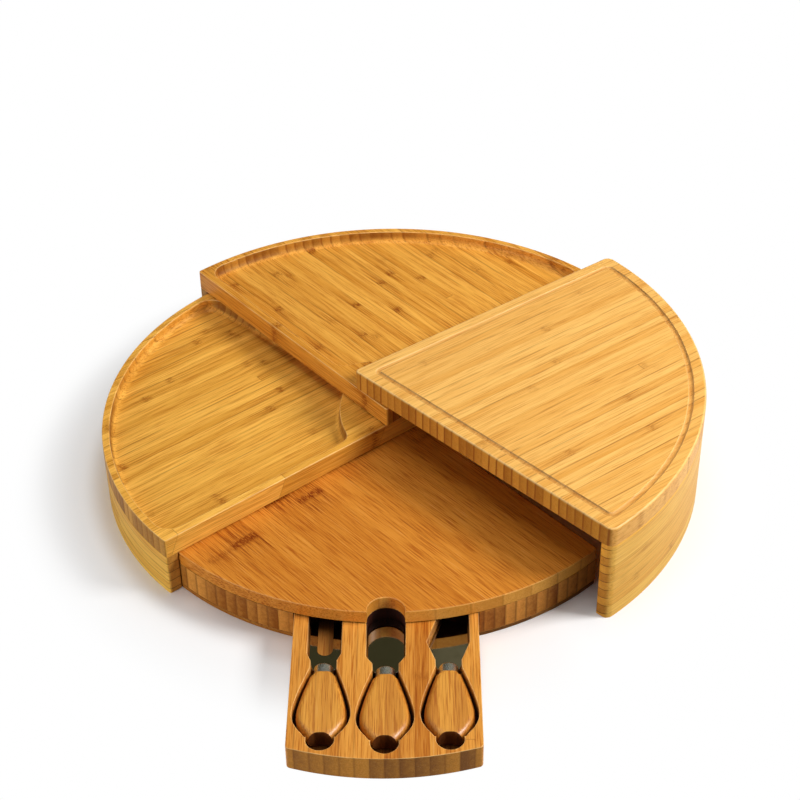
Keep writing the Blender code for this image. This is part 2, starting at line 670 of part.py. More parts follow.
def build_knife(model, drawer, name, across, tip, blade_outline):
    """Steel blade with a tang, a ferrule round the tang and a teardrop handle."""
    frame = model.frame(name, drawer, (DRAWER_REAR + tip, across, BLADE_BOTTOM))
    tang_end = HANDLE_START + TANG_LENGTH
    half_tang = TANG_WIDTH / 2
    tang = [Vector((NECK_AT, -half_tang)), Vector((tang_end, -half_tang)),
            Vector((tang_end, half_tang)), Vector((NECK_AT, half_tang))]
    model.piece(prism(name + "_blade", blade_outline + tang, 0.0, BLADE_THICKNESS), STEEL, frame)

    handle_bottom = HANDLE_BOTTOM - BLADE_BOTTOM
    middle = handle_bottom + HANDLE_THICKNESS / 2
    ferrule = rod(name + "_ferrule", FERRULE_WIDTH / 2, 0.0, FERRULE_LENGTH)
    round_rims(ferrule, FERRULE_ROUND, EDGE_ROUND_STEPS, top=True, bottom=True)
    flatten = FERRULE_HEIGHT / FERRULE_WIDTH
    for vertex in ferrule.data.vertices:
        vertex.co = (vertex.co.z, vertex.co.y, -vertex.co.x * flatten)
    ferrule.location = (FERRULE_START + FERRULE_LENGTH / 2, 0.0, middle)
    model.piece(ferrule, STEEL, frame)

    handle = prism(name + "_handle", handle_outline(), handle_bottom, handle_bottom + HANDLE_THICKNESS)
    round_rims(handle, HANDLE_ROUND, HANDLE_ROUND_STEPS, top=True, bottom=True, square_ends=True)
    model.piece(handle, BAMBOO_GOLD, frame)
    half_mortise = half_tang + TANG_CLEARANCE
    low = (NECK_AT, -half_mortise, -TANG_CLEARANCE)
    high = (tang_end + TANG_CLEARANCE, half_mortise, BLADE_THICKNESS + TANG_CLEARANCE)
    model.cut(ferrule, box(name + "_ferrule_mortise", low, high))
    model.cut(handle, box(name + "_handle_mortise", low, high))


def build():
    """Whole cheese board, fanned out with its drawer open."""
    clear_scene()
    model = Model()
    base = model.frame("base_frame", turn=BASE_HEADING)
    tier_3 = model.frame("tier_3_frame", base, turn=-TIER_3_TURN)
    tier_2 = model.frame("tier_2_frame", tier_3, turn=-TIER_2_TURN)
    tier_1 = model.frame("tier_1_frame", tier_2, turn=-TIER_1_TURN)
    drawer = model.frame("drawer_frame", base, (DRAWER_PULL, 0.0, 0.0))

    build_base(model, base)
    build_tray(model, tier_3, "tier_3", TIER_3_RADIUS, TIER_3_BOTTOM)
    build_tray(model, tier_2, "tier_2", TIER_2_RADIUS, TIER_2_BOTTOM)
    build_top_board(model, tier_1)
    build_pivot(model, (base, tier_3, tier_2))
    slots = (("fork", FORK_ACROSS, FORK_TIP, fork_outline(SLOT_CLEARANCE, tines=False)),
             ("spreader", SPREADER_ACROSS, SPREADER_TIP, spreader_outline(SLOT_CLEARANCE)),
             ("cleaver", CLEAVER_ACROSS, CLEAVER_TIP, cleaver_outline(SLOT_CLEARANCE)))
    build_drawer(model, drawer, slots)
    build_knife(model, drawer, "fork", FORK_ACROSS, FORK_TIP, fork_outline(0.0))
    build_knife(model, drawer, "spreader", SPREADER_ACROSS, SPREADER_TIP, spreader_outline(0.0))
    build_knife(model, drawer, "cleaver", CLEAVER_ACROSS, CLEAVER_TIP, cleaver_outline(0.0))


build()
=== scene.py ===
"""Looks of the bamboo cheese board set: fine boards, skirts, drawer and knives in bamboo and steel.

Every level is a wedge round one upright pivot. A board is drawn in its own plan first, with the
wedge's middle line along +X, and is then turned to its heading. Lengths are in metres.
"""

import math

import bmesh
import bpy
from mathutils import Matrix, Vector


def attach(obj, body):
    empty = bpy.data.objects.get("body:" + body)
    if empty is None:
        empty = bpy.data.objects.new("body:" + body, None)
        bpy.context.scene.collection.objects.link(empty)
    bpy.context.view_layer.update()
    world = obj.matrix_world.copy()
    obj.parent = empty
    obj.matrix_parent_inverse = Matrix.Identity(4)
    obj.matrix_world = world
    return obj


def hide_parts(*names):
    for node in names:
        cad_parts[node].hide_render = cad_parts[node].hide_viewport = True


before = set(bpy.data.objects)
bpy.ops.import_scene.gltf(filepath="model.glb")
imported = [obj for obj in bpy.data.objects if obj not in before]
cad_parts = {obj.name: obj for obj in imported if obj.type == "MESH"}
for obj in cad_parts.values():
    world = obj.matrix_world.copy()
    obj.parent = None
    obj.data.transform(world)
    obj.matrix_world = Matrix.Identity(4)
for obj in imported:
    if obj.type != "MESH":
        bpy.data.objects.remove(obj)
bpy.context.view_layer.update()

# Plan of the wedge that all levels share
EDGE_HALF_ANGLE = math.radians(41.4)
EDGE_OFFSET = 0.0162
PIVOT = Vector((0.0, 0.0))

# Steps of the curved shapes
FILLET_STEPS, ARC_STEPS, CIRCLE_STEPS, COVE_STEPS, GROOVE_STEPS = 8, 96, 48, 12, 12
ROUND_STEPS, FOOT_STEPS, EASE_STEPS, RIM_STEPS, SCOOP_STEPS, SECTION_STEPS = 5, 2, 3, 4, 64, 7
GRIP_SAMPLES, POCKET_SAMPLES, FERRULE_STEPS, SKIRT_STEPS, SKIRT_FOOT_STEPS = 10, 6, 16, 161, 5

# Outer radius and heading of each level
BASE_RADIUS, TIER_3_RADIUS, TIER_2_RADIUS, TIER_1_RADIUS = 0.1986, 0.2086, 0.2186, 0.2286
BASE_HEADING = math.radians(-90.0)
TIER_3_HEADING = BASE_HEADING - math.radians(91.34)
TIER_2_HEADING = TIER_3_HEADING - math.radians(90.16)
TIER_1_HEADING = TIER_2_HEADING - math.radians(92.90)

# Heights of the layers
FLOOR_PANEL_TOP = 0.0030
RAIL_BOTTOM, RAIL_TOP = 0.0033, 0.0220
LID_BOTTOM, LID_TOP = 0.0223, 0.0320
TIER_THICKNESS = 0.0152
TIER_3_BOTTOM, TIER_2_BOTTOM, TIER_1_BOTTOM = 0.0329, 0.0490, 0.0651
GLUE_GAP = 0.0003

# Skirts, whose ends are rounded over the last share of their sweep
SKIRT_THICKNESS, SKIRT_GAP = 0.0093, 0.00004
TOP_SKIRT_INNER_ROUND, TOP_SKIRT_FOOT_ROUND = 0.0014, 0.0020
SKIRT_INNER_ROUND, SKIRT_FOOT_ROUND = 0.0006, 0.0008
STRAIGHT_SHARE = 0.9
MERGE_DISTANCE = 0.000005

# Bolt hole through the lower levels, and the seat of the insert under the top board
BOLT_HOLE_RADIUS = 0.0043
INSERT_SEAT_RADIUS = 0.0068
INSERT_SEAT_DEPTH = 0.0103

# Rounded edges
PANEL_ROUND, PANEL_CORNER, FLOOR_PANEL_ROUND, RAIL_ROUND = 0.0008, 0.0018, 0.0003, 0.0002
BOARD_ROUND, BOARD_CORNER, BOARD_APEX = 0.0018, 0.0062, 0.0032
FOOT_ROUND, TOP_BOARD_FOOT_ROUND = 0.0003, 0.0001

# Juice groove
GROOVE_INSET, GROOVE_HALF_WIDTH, GROOVE_DEPTH = 0.0108, 0.0020, 0.0013
GROOVE_CORNER, GROOVE_APEX, GROOVE_RIM, GROOVE_RIM_BEND = 0.0045, 0.0030, 0.0004, (0.3, 0.2)

# Recess of the trays
RECESS_ARC_RIM, RECESS_EDGE_RIM, RECESS_DEPTH = 0.0055, 0.0063, 0.0086
RECESS_COVE, RECESS_CORNER, RECESS_RIM_ROUND = 0.0052, 0.0130, 0.0007
RECESS_START, RECESS_START_RADIUS, RECESS_START_FILLET = 0.0356, 0.0800, 0.0090

# Finger notch in the base's lid
NOTCH_RADIUS, NOTCH_DEPTH = 0.01265, 0.0142

# Drawer, with places counted along the base's middle line while it is shut
DRAWER_PULL = 0.1162
DRAWER_HALF_WIDTH, DRAWER_REAR = 0.0609, 0.0586
DRAWER_BOTTOM, DRAWER_TOP = 0.0033, 0.0215
DRAWER_CORNER, DRAWER_ROUND = 0.0030, 0.0005
CAVITY_HALF_WIDTH, CAVITY_REAR = 0.0616, 0.0576
POCKET_BOTTOM, SLOT_BOTTOM = 0.0080, 0.0119
POCKET_CLEARANCE, NECK_CLEARANCE, SLOT_CLEARANCE = 0.0023, 0.0012, 0.0008
SCOOP_RADIUS, SCOOP_PAST_GRIP = 0.0089, 0.0044
RIM_ROUND, CUTTER_RISE = 0.0006, 0.0020

# Painted shade in the cut hollows, as shares of the full painted shade
COVE_PAINTED_SHADE, GROOVE_PAINTED_SHADE, SLOT_PAINTED_SHADE, SCOOP_PAINTED_SHADE = 0.25, 1.6, 0.15, 0.8

# Depths at which the painted shade of a pocket's wall starts and is read again, and over which it grows full
SHADE_START, SHADE_MIDDLE, SHADE_FADE = 0.0024, 0.0070, 0.0060

# Outer skin of the drawer that has no painted shade, and how far the slots' and the scoops' own painted
# shades reach
SHADE_SKIN, SHADE_RIM = 0.0020, 0.0001
SLOT_SHADE_PAST_NECK, SCOOP_SHADE_PAST = 0.0080, 0.0010

# Knives, with lengths counted from the tip
BLADE_BOTTOM, BLADE_THICKNESS, BLADE_ROUND = 0.0122, 0.0012, 0.00025
SHOULDER_AT, NECK_AT, NECK_HALF = 0.0430, 0.0502, 0.0072
TANG_HALF, TANG_END = 0.0025, 0.0535
FORK_HALF, FORK_GAP_HALF, FORK_GAP_END = 0.0102, 0.0050, 0.0323
TINE_OUTER_SLANT, TINE_INNER_SLANT = 0.0030, 0.0015
SPREADER_HALF = 0.0119
CLEAVER_HALF, CLEAVER_TIP_WIDTH, CLEAVER_CORNER, CLEAVER_SHOULDER = 0.0132, 0.0160, 0.0015, 0.0333
FERRULE_START, FERRULE_LENGTH = 0.0499, 0.0078
FERRULE_HALF_WIDTH, FERRULE_HALF_HEIGHT, FERRULE_ROUND = 0.0064, 0.0058, 0.0014
GRIP_START, GRIP_LENGTH = 0.0555, 0.0565
GRIP_BOTTOM, GRIP_THICKNESS = 0.0083, 0.0122
GRIP_BELLY_ROUND, GRIP_END_ROUND, GRIP_NECK_ROUND = 0.0050, 0.0052, 0.0026
GRIP_BITE, GRIP_BITE_SIDE, GRIP_BITE_REACH = 0.0028, 0.0006, 0.0090
GRIP_NECK_GAP, GRIP_END_EASE = 0.0010, 0.0004
GRIP_HALF_WIDTH, GRIP_END_HALF = 0.0160, 0.0075
RISE_SHARES = ((0.0, 0.0), (0.25, 0.48), (0.41, 0.75), (0.57, 0.955), (0.65, 1.0))
FALL_SHARES = ((0.73, 0.974), (0.81, 0.83), (0.89, 0.53), (0.95, 0.22), (1.0, 0.0))

# Place of each knife across the drawer, and of its tip past the drawer's rear
KNIVES = {"fork": (-0.0399, 0.0072), "spreader": (0.0, 0.0100), "cleaver": (0.0405, 0.0072)}

# Creases, in degrees, past which the edges of a piece are sharp
CREASE, DRAWER_CREASE, SKIRT_CREASE = 35.0, 30.0, 40.0

# Strip along a board's straight edge, and the radius at which bent grain has its true length
EDGE_STRIP_WIDTH, BENT_GRAIN_RADIUS = 0.0066, 0.22
EDGE_STRIP = (0.0, EDGE_STRIP_WIDTH - EDGE_OFFSET, 0.0)

# Odd steps that keep the laminate's chances apart
STRIP_STEP, STAVE_STEP, EDGE_STEP, RUN_STEP, WAVER_STEP, FIBRE_STEP = 0.37, 3.1, 0.5, 7.0, 90.0, 60.0

# Places of the colours among a Mix node's sockets, and the kinds of sockets that a group's values need
MIX_COLOURS, MIX_RESULT = (6, 7), 2
SOCKET_KINDS = {float: "Float", int: "Int", tuple: "Color"}

# Camera, with its focal length and the place of its axis in the photograph's pixels
CAMERA_PLACE, CAMERA_AIM = Vector((0.022658, -1.054109, 0.864840)), Vector((0.016742, 0.037460, 0.0))
CAMERA_ROLL = math.radians(-0.560)
FOCAL_PIXELS, AXIS_PIXEL_X, AXIS_PIXEL_Y, PICTURE_PIXELS = 1817.81, 411.602, 426.165, 800.0
SENSOR_WIDTH = 36.0

# Studio: colours, and rings round the board over which the floor turns white, with the share that each adds
WHITE, FILL_COLOUR, FILL_STRENGTH = (1.0, 1.0, 1.0, 1.0), (1.0, 0.99, 0.97, 1.0), 0.16
FLOOR_TONE, FLOOR_TONE_SEEN = (0.36, 0.35, 0.33, 1.0), (0.93, 0.93, 0.93, 1.0)
FLOOR_REACH, FLOOR_RINGS = 6.0, ((0.212, 0.230, 0.35), (0.222, 0.280, 0.65))
CARD_CORNERS = ((-2.2, 1.1, 0.2), (2.2, 1.1, 0.2), (2.2, 1.5, 3.2), (-2.2, 1.5, 3.2))


# Plan outlines

def unit(angle):
    """Unit vector in plan at an angle from +X."""
    return Vector((math.cos(angle), math.sin(angle)))


def angle_of(vector):
    """Angle of a plan vector from +X."""
    return math.atan2(vector.y, vector.x)


def arc(centre, radius, start, end, steps):
    """Points of an arc in plan, both ends included."""
    return [centre + radius * unit(start + (end - start) * i / steps) for i in range(steps + 1)]


def circle(centre, radius, steps):
    """Points of a whole circle in plan."""
    return arc(centre, radius, 0.0, 2 * math.pi, steps)[:-1]


def mirrored(points):
    """The same points on the other side of the middle line, in reverse order."""
    return [Vector((point.x, -point.y)) for point in reversed(points)]


def edge_reach(radius, offset):
    """Angle from the middle line at which a straight edge meets an arc about the pivot."""
    return EDGE_HALF_ANGLE + math.asin(offset / radius)


def corner_fillet(radius, offset, fillet):
    """Fillet between the arc and the left straight edge, ending on that edge."""
    inward = unit(EDGE_HALF_ANGLE - math.pi / 2)
    reach = math.sqrt((radius - fillet) ** 2 - (offset - fillet) ** 2)
    centre = reach * unit(EDGE_HALF_ANGLE) - (offset - fillet) * inward
    return arc(centre, fillet, angle_of(centre), EDGE_HALF_ANGLE + math.pi / 2, FILLET_STEPS)


def round_side(radius, offset, fillet):
    """The wedge's round side with a fillet at each end."""
    left = corner_fillet(radius, offset, fillet)
    reach = angle_of(left[0])
    return mirrored(left) + arc(PIVOT, radius, -reach, reach, ARC_STEPS)[1:-1] + left


def apex_arc(offset, apex):
    """Rounded apex of the wedge."""
    centre = Vector((-(offset - apex) / math.sin(EDGE_HALF_ANGLE), 0.0))
    start = EDGE_HALF_ANGLE + math.pi / 2
    return arc(centre, apex, start, 2 * math.pi - start, FILLET_STEPS)


def wedge(radius, corner, apex, inset):
    """Outline of a wedge, moved inwards all round by an inset."""
    side = round_side(radius - inset, EDGE_OFFSET - inset, corner - inset)
    return side + apex_arc(EDGE_OFFSET - inset, apex - inset)


def notched_wedge(inset):
    """Outline of the base's lid, whose round side has the finger notch."""
    run, hollow = BASE_RADIUS - inset, NOTCH_RADIUS + inset
    side = corner_fillet(run, EDGE_OFFSET - inset, PANEL_CORNER - inset)
    centre = Vector((BASE_RADIUS - NOTCH_DEPTH + NOTCH_RADIUS, 0.0))
    meet = math.acos((run ** 2 + centre.x ** 2 - hollow ** 2) / (2 * run * centre.x))
    rim = arc(PIVOT, run, meet, angle_of(side[0]), ARC_STEPS // 2)
    turn = angle_of(rim[0] - centre)
    notch = arc(centre, hollow, -turn, -2 * math.pi + turn, 4 * FILLET_STEPS)
    outline = mirrored(side) + mirrored(rim)[1:-1] + notch + rim[1:-1] + side
    return outline + apex_arc(EDGE_OFFSET - inset, PANEL_CORNER - inset)


def recess_outline(radius, inset):
    """Outline of a tray's recess, which stops short of the pivot at a shallow arc."""
    offset = EDGE_OFFSET - RECESS_EDGE_RIM - inset
    fillet = RECESS_START_FILLET - inset
    inward = unit(EDGE_HALF_ANGLE - math.pi / 2)
    along = unit(EDGE_HALF_ANGLE)
    hub = Vector((RECESS_START - RECESS_START_RADIUS, 0.0))
    hub_radius = RECESS_START_RADIUS + inset
    foot = -(offset - fillet) * inward - hub
    forward = foot.dot(along)
    travel = math.sqrt(forward ** 2 - foot.length_squared + (hub_radius + fillet) ** 2) - forward
    centre = foot + hub + travel * along
    towards_hub = angle_of(hub - centre) % (2 * math.pi)
    left = arc(centre, fillet, EDGE_HALF_ANGLE + math.pi / 2, towards_hub, FILLET_STEPS)
    swing = angle_of(left[-1] - hub)
    start = arc(hub, hub_radius, swing, -swing, 2 * FILLET_STEPS)
    outer = round_side(radius - RECESS_ARC_RIM - inset, offset, RECESS_CORNER - inset)
    return outer + left + start[1:-1] + mirrored(left)


def rail_outline(inset, side):
    """Outline of the block beside the drawer's cavity, left (1) or right (-1) of the middle line."""
    start = CAVITY_REAR + GLUE_GAP + inset
    run = BASE_RADIUS - inset
    nearest = math.asin((CAVITY_HALF_WIDTH + inset) / run)
    furthest = edge_reach(run, EDGE_OFFSET - inset)
    edge = (start + (EDGE_OFFSET - inset) / math.sin(EDGE_HALF_ANGLE)) * math.tan(EDGE_HALF_ANGLE)
    outline = [Vector((start, CAVITY_HALF_WIDTH + inset))]
    outline += arc(PIVOT, run, nearest, furthest, ARC_STEPS // 3) + [Vector((start, edge))]
    return outline if side > 0 else mirrored(outline)


def drawer_outline(inset):
    """Outline of the drawer, whose front carries on the base's arc."""
    half, run, corner = DRAWER_HALF_WIDTH - inset, BASE_RADIUS - inset, DRAWER_CORNER - inset
    centre = Vector((math.sqrt((run - corner) ** 2 - (half - corner) ** 2), half - corner))
    left = arc(centre, corner, angle_of(centre), math.pi / 2, FILLET_STEPS)
    reach = angle_of(left[0])
    front = mirrored(left) + arc(PIVOT, run, -reach, reach, ARC_STEPS // 2)[1:-1] + left
    return [Vector((DRAWER_REAR + inset, -half))] + front + [Vector((DRAWER_REAR + inset, half))]


def smooth_through(points, samples):
    """Points of a smooth curve through the given ones."""
    padded = [points[0]] + points + [points[-1]]
    curve = []
    for before, start, end, after in zip(padded, padded[1:], padded[2:], padded[3:]):
        for i in range(samples):
            t = i / samples
            pull = (end - before) * t + (2 * before - 5 * start + 4 * end - after) * t ** 2
            bend = (3 * start - before - 3 * end + after) * t ** 3
            curve.append(start + (pull + bend) / 2)
    return curve + [points[-1]]


def teardrop_side(length, neck, belly, end, samples):
    """Left side of a teardrop, from its neck to its end, given by its half widths."""
    points = []
    for low, shares in ((neck, RISE_SHARES), (end, FALL_SHARES)):
        points += [Vector((GRIP_START + length * place, low + (belly - low) * share))
                   for place, share in shares]
    return smooth_through(points, samples)


def pocket_outline():
    """Outline of the deep pocket for a grip and its ferrule."""
    neck = NECK_HALF + NECK_CLEARANCE
    side = teardrop_side(GRIP_LENGTH + POCKET_CLEARANCE, neck, GRIP_HALF_WIDTH + POCKET_CLEARANCE,
                         GRIP_END_HALF + POCKET_CLEARANCE, POCKET_SAMPLES)
    side.insert(0, Vector((NECK_AT - NECK_CLEARANCE, neck)))
    return mirrored(side)[::-1] + side[::-1]


def fork_outline(grow):
    """Outline of the fork's blade, or of its slot without the gap between the tines, from neck to neck."""
    half, gap, neck = FORK_HALF + grow, FORK_GAP_HALF, NECK_HALF + grow
    root = arc(Vector((FORK_GAP_END, 0.0)), gap, math.pi / 2, -math.pi / 2, 2 * FILLET_STEPS)
    side = [Vector((NECK_AT, neck)), Vector((SHOULDER_AT, half)), Vector((TINE_OUTER_SLANT - grow, half)),
            Vector((-grow, (half + gap) / 2)), Vector((TINE_INNER_SLANT - grow, gap))]
    return side[:4] + mirrored(side[:4]) if grow > 0 else side + root + mirrored(side)


def spreader_outline(grow):
    """Outline of the round-ended blade or of its slot, from neck to neck."""
    half, neck = SPREADER_HALF + grow, NECK_HALF + grow
    tip = arc(Vector((SPREADER_HALF, 0.0)), half, math.pi / 2, 3 * math.pi / 2, 5 * FILLET_STEPS)
    side = [Vector((NECK_AT, neck)), Vector((SHOULDER_AT, half))]
    return side + tip + mirrored(side)


def cleaver_outline(grow):
    """Outline of the blade with one slanting side or of its slot, from neck to neck."""
    half, neck, corner = CLEAVER_HALF + grow, NECK_HALF + grow, CLEAVER_CORNER
    tip_side = half - CLEAVER_TIP_WIDTH - 2 * grow
    return [Vector(point) for point in (
        (NECK_AT, neck), (CLEAVER_SHOULDER, half), (corner - grow, half), (-grow, half - corner),
        (-grow, tip_side + corner), (corner - grow, tip_side), (CLEAVER_SHOULDER, -half), (NECK_AT, -neck))]


BLADE_OUTLINES = {"fork": fork_outline, "spreader": spreader_outline, "cleaver": cleaver_outline}


def swollen(outline, grow):
    """A closed outline moved outwards by an amount, with its corners mitred."""
    area = sum(a.x * b.y - b.x * a.y for a, b in zip(outline, outline[1:] + outline[:1]))
    turn = 1.0 if area > 0 else -1.0
    moved = []
    for before, here, after in zip(outline[-1:] + outline[:-1], outline, outline[1:] + outline[:1]):
        come, go = (here - before).normalized(), (after - here).normalized()
        normal = (Vector((come.y, -come.x)) + Vector((go.y, -go.x))).normalized() * turn
        moved.append(here + normal * grow / max(0.5, normal.dot(Vector((go.y, -go.x)) * turn)))
    return moved


# Mesh pieces

def put(name, data):
    """Add an object to the scene."""
    made = bpy.data.objects.new(name, data)
    bpy.context.scene.collection.objects.link(made)
    return made


def baked(made):
    """Make what an object's modifiers give its own plain mesh."""
    bpy.context.view_layer.update()
    mesh = bpy.data.meshes.new_from_object(made.evaluated_get(bpy.context.evaluated_depsgraph_get()))
    made.modifiers.clear()
    made.data = mesh
    mesh.name = made.name
    return mesh


def settled(made, crease=CREASE):
    """Shade a piece smooth up to its creases, with its flat faces kept flat, and bake it."""
    weighted = made.modifiers.new("flat faces stay flat", "WEIGHTED_NORMAL")
    weighted.mode = "FACE_AREA_WITH_ANGLE"
    weighted.weight = 80
    weighted.keep_sharp = True
    made.data.shade_smooth()
    made.data.set_sharp_from_angle(angle=math.radians(crease))
    baked(made)
    return made


class Shell:
    """A closed skin laid ring by ring."""

    def __init__(self):
        self.bm = bmesh.new()
        # The hollow layer holds each point's share of painted shade
        self.hollow = self.bm.verts.layers.float.new("hollow")

    def ring(self, outline, height, hollow=0.0):
        """Add the points of a plan outline at one height, marked with their share of painted shade in a
        hollow.
        """
        made = [self.bm.verts.new((point.x, point.y, height)) for point in outline]
        for vertex in made:
            vertex[self.hollow] = hollow
        return made

    def wall(self, *rings):
        """Join rings of equal count, each to the next."""
        for lower, upper in zip(rings, rings[1:]):
            for i in range(len(lower)):
                j = (i + 1) % len(lower)
                self.bm.faces.new((lower[i], lower[j], upper[j], upper[i]))

    def sheet(self, *rings):
        """Fill the flat face between an outer ring and any rings of holes in it."""
        edges = []
        for ring in rings:
            for i, vertex in enumerate(ring):
                other = ring[(i + 1) % len(ring)]
                edges.append(self.bm.edges.get((vertex, other)) or self.bm.edges.new((vertex, other)))
        bmesh.ops.triangle_fill(self.bm, use_beauty=True, use_dissolve=False, edges=edges)

    def block(self, rings):
        """Wall through rings, with a flat face over the first and the last."""
        self.wall(*rings)
        self.sheet(rings[0])
        self.sheet(rings[-1])

    def piece(self, name, heading, shift=0.0):
        """Turn the skin to its heading and make it an object with clean shading."""
        bmesh.ops.translate(self.bm, verts=self.bm.verts, vec=(shift, 0.0, 0.0))
        bmesh.ops.rotate(self.bm, verts=self.bm.verts, matrix=Matrix.Rotation(heading, 3, "Z"))
        bmesh.ops.recalc_face_normals(self.bm, faces=self.bm.faces)
        mesh = bpy.data.meshes.new(name)
        self.bm.to_mesh(mesh)
        self.bm.free()
        return settled(put(name, mesh))


def rounding(radius, steps=ROUND_STEPS):
    """Inset and drop of each ring on a quarter-round edge, from the upright side to the flat face."""
    turns = [math.pi / 2 * i / steps for i in range(steps + 1)]
    return [(radius * (1 - math.cos(turn)), radius * (1 - math.sin(turn))) for turn in turns]


def edge_rings(shell, outline_at, bottom, top, radius, foot=FOOT_ROUND):
    """Rings of a board's outside, from the rim of its underside up to the rim of its upper face."""
    lower = [shell.ring(outline_at(inset), bottom + drop)
             for inset, drop in reversed(rounding(foot, FOOT_STEPS))]
    upper = [shell.ring(outline_at(inset), top - drop) for inset, drop in rounding(radius)]
    return lower + upper


def slab(name, outline_at, bottom, top, radius):
    """Plain board of the base with rounded edges."""
    shell = Shell()
    shell.block(edge_rings(shell, outline_at, bottom, top, radius))
    return shell.piece(name, BASE_HEADING)


def base_lid():
    """Base's lid with its finger notch and bolt hole, with painted shade on its underside, where it roofs the
    drawer.
    """
    shell = Shell()
    rings = edge_rings(shell, notched_wedge, LID_BOTTOM, LID_TOP, PANEL_ROUND)
    shell.wall(*rings)
    bore = circle(PIVOT, BOLT_HOLE_RADIUS, CIRCLE_STEPS)
    low, high = shell.ring(bore, LID_BOTTOM), shell.ring(bore, LID_TOP)
    # Painted shade on the underside and the lower rim of the bolt hole
    for vertex in rings[0] + low:
        vertex[shell.hollow] = 1.0
    shell.wall(low, high)
    shell.sheet(rings[0], low)
    shell.sheet(rings[-1], high)
    return shell.piece("base_lid", BASE_HEADING)


def tray(name, radius, bottom, heading):
    """Tray with a rounded recess rim and a deep cove down to the recess's floor."""
    top = bottom + TIER_THICKNESS
    shell = Shell()
    rings = edge_rings(shell, lambda inset: wedge(radius, PANEL_CORNER, PANEL_CORNER, inset),
                       bottom, top, PANEL_ROUND)
    shell.wall(*rings)
    hollow = [shell.ring(recess_outline(radius, -inset), top - drop)
              for inset, drop in reversed(rounding(RECESS_RIM_ROUND))]
    # The recess's wall gets painted shade, fullest where the cove begins and fading to none on the floor
    for i in range(COVE_STEPS + 1):
        turn = math.pi / 2 * i / COVE_STEPS
        outline = recess_outline(radius, RECESS_COVE * (1 - math.cos(turn)))
        height = top - RECESS_DEPTH + RECESS_COVE * (1 - math.sin(turn))
        hollow.append(shell.ring(outline, height, COVE_PAINTED_SHADE * math.cos(turn)))
    shell.wall(*hollow)
    bore = circle(PIVOT, BOLT_HOLE_RADIUS, CIRCLE_STEPS)
    low, high = shell.ring(bore, bottom), shell.ring(bore, top)
    shell.wall(low, high)
    shell.sheet(rings[0], low)
    shell.sheet(rings[-1], hollow[0], high)
    shell.sheet(hollow[-1])
    return shell.piece(name, heading)


def groove_profile():
    """Cross section of the juice groove, as places across it and heights from the board's face."""
    bend_in, bend_down = GROOVE_RIM_BEND
    rim = [(-GROOVE_HALF_WIDTH - GROOVE_RIM, 0.0),
           (-GROOVE_HALF_WIDTH - bend_in * GROOVE_RIM, -bend_down * GROOVE_RIM)]
    turns = [math.pi * i / GROOVE_STEPS for i in range(1, GROOVE_STEPS)]
    channel = [(-GROOVE_HALF_WIDTH * math.cos(turn), -GROOVE_DEPTH * math.sin(turn)) for turn in turns]
    return rim + channel + [(-across, height) for across, height in reversed(rim)]


def top_board():
    """Top board with its juice groove and the blind seat of the pivot insert."""
    bottom, top = TIER_1_BOTTOM, TIER_1_BOTTOM + TIER_THICKNESS
    shell = Shell()
    rings = edge_rings(shell, lambda inset: wedge(TIER_1_RADIUS, BOARD_CORNER, BOARD_APEX, inset),
                       bottom, top, BOARD_ROUND, TOP_BOARD_FOOT_ROUND)
    # The groove gets painted shade, growing with its depth
    for across, height in groove_profile():
        line = round_side(TIER_1_RADIUS - GROOVE_INSET - across, EDGE_OFFSET - GROOVE_INSET - across,
                          GROOVE_CORNER - across)
        line += apex_arc(EDGE_OFFSET - GROOVE_INSET - across, GROOVE_APEX - across)
        rings.append(shell.ring(line, top + height, min(1.0, -height / GROOVE_DEPTH * GROOVE_PAINTED_SHADE)))
    shell.wall(*rings)
    shell.sheet(rings[-1])
    seat = circle(PIVOT, INSERT_SEAT_RADIUS, CIRCLE_STEPS)
    mouth, end = shell.ring(seat, bottom), shell.ring(seat, bottom + INSERT_SEAT_DEPTH)
    shell.wall(mouth, end)
    shell.sheet(end)
    shell.sheet(rings[0], mouth)
    return shell.piece("top_board", TIER_1_HEADING)


def knife_place(name):
    """Place of a knife's tip in the drawer's plan at rest."""
    across, tip = KNIVES[name]
    return Vector((DRAWER_REAR + DRAWER_PULL + tip, across))


def hollow_cutter(name, outline, floor):
    """Solid that cuts a hollow with a rounded rim into the drawer."""
    shell = Shell()
    heights = (floor, DRAWER_TOP - SHADE_MIDDLE, DRAWER_TOP - SHADE_START)
    rings = [shell.ring(outline, height) for height in heights]
    for inset, drop in rounding(RIM_ROUND, RIM_STEPS):
        rings.append(shell.ring(swollen(outline, inset), DRAWER_TOP - drop))
    rings.append(shell.ring(swollen(outline, RIM_ROUND), DRAWER_TOP + CUTTER_RISE))
    shell.block(rings)
    return shell.piece(name, BASE_HEADING)


def drawer_shade(place, scoops):
    """Share of painted shade at a place on the drawer: most under the lid, and growing down in the pockets.
    """
    x, y, z = place
    under_lid = y > -BASE_RADIUS
    rear_run = math.hypot(x, y + DRAWER_PULL)
    if abs(x) >= DRAWER_HALF_WIDTH - SHADE_SKIN or rear_run >= BASE_RADIUS - SHADE_SKIN:
        return 0.0
    if not DRAWER_BOTTOM + SHADE_SKIN < z < DRAWER_TOP - (SHADE_RIM if under_lid else SHADE_SKIN):
        return 0.0
    if under_lid:
        return 1.0
    if y > -(DRAWER_REAR + DRAWER_PULL + NECK_AT + SLOT_SHADE_PAST_NECK):
        return SLOT_PAINTED_SHADE
    scooped = any(math.hypot(x - across, y - along) < SCOOP_RADIUS + SCOOP_SHADE_PAST
                  for across, along in scoops)
    return min(1.0, (DRAWER_TOP - SHADE_START - z) / SHADE_FADE) * (SCOOP_PAINTED_SHADE if scooped else 1.0)


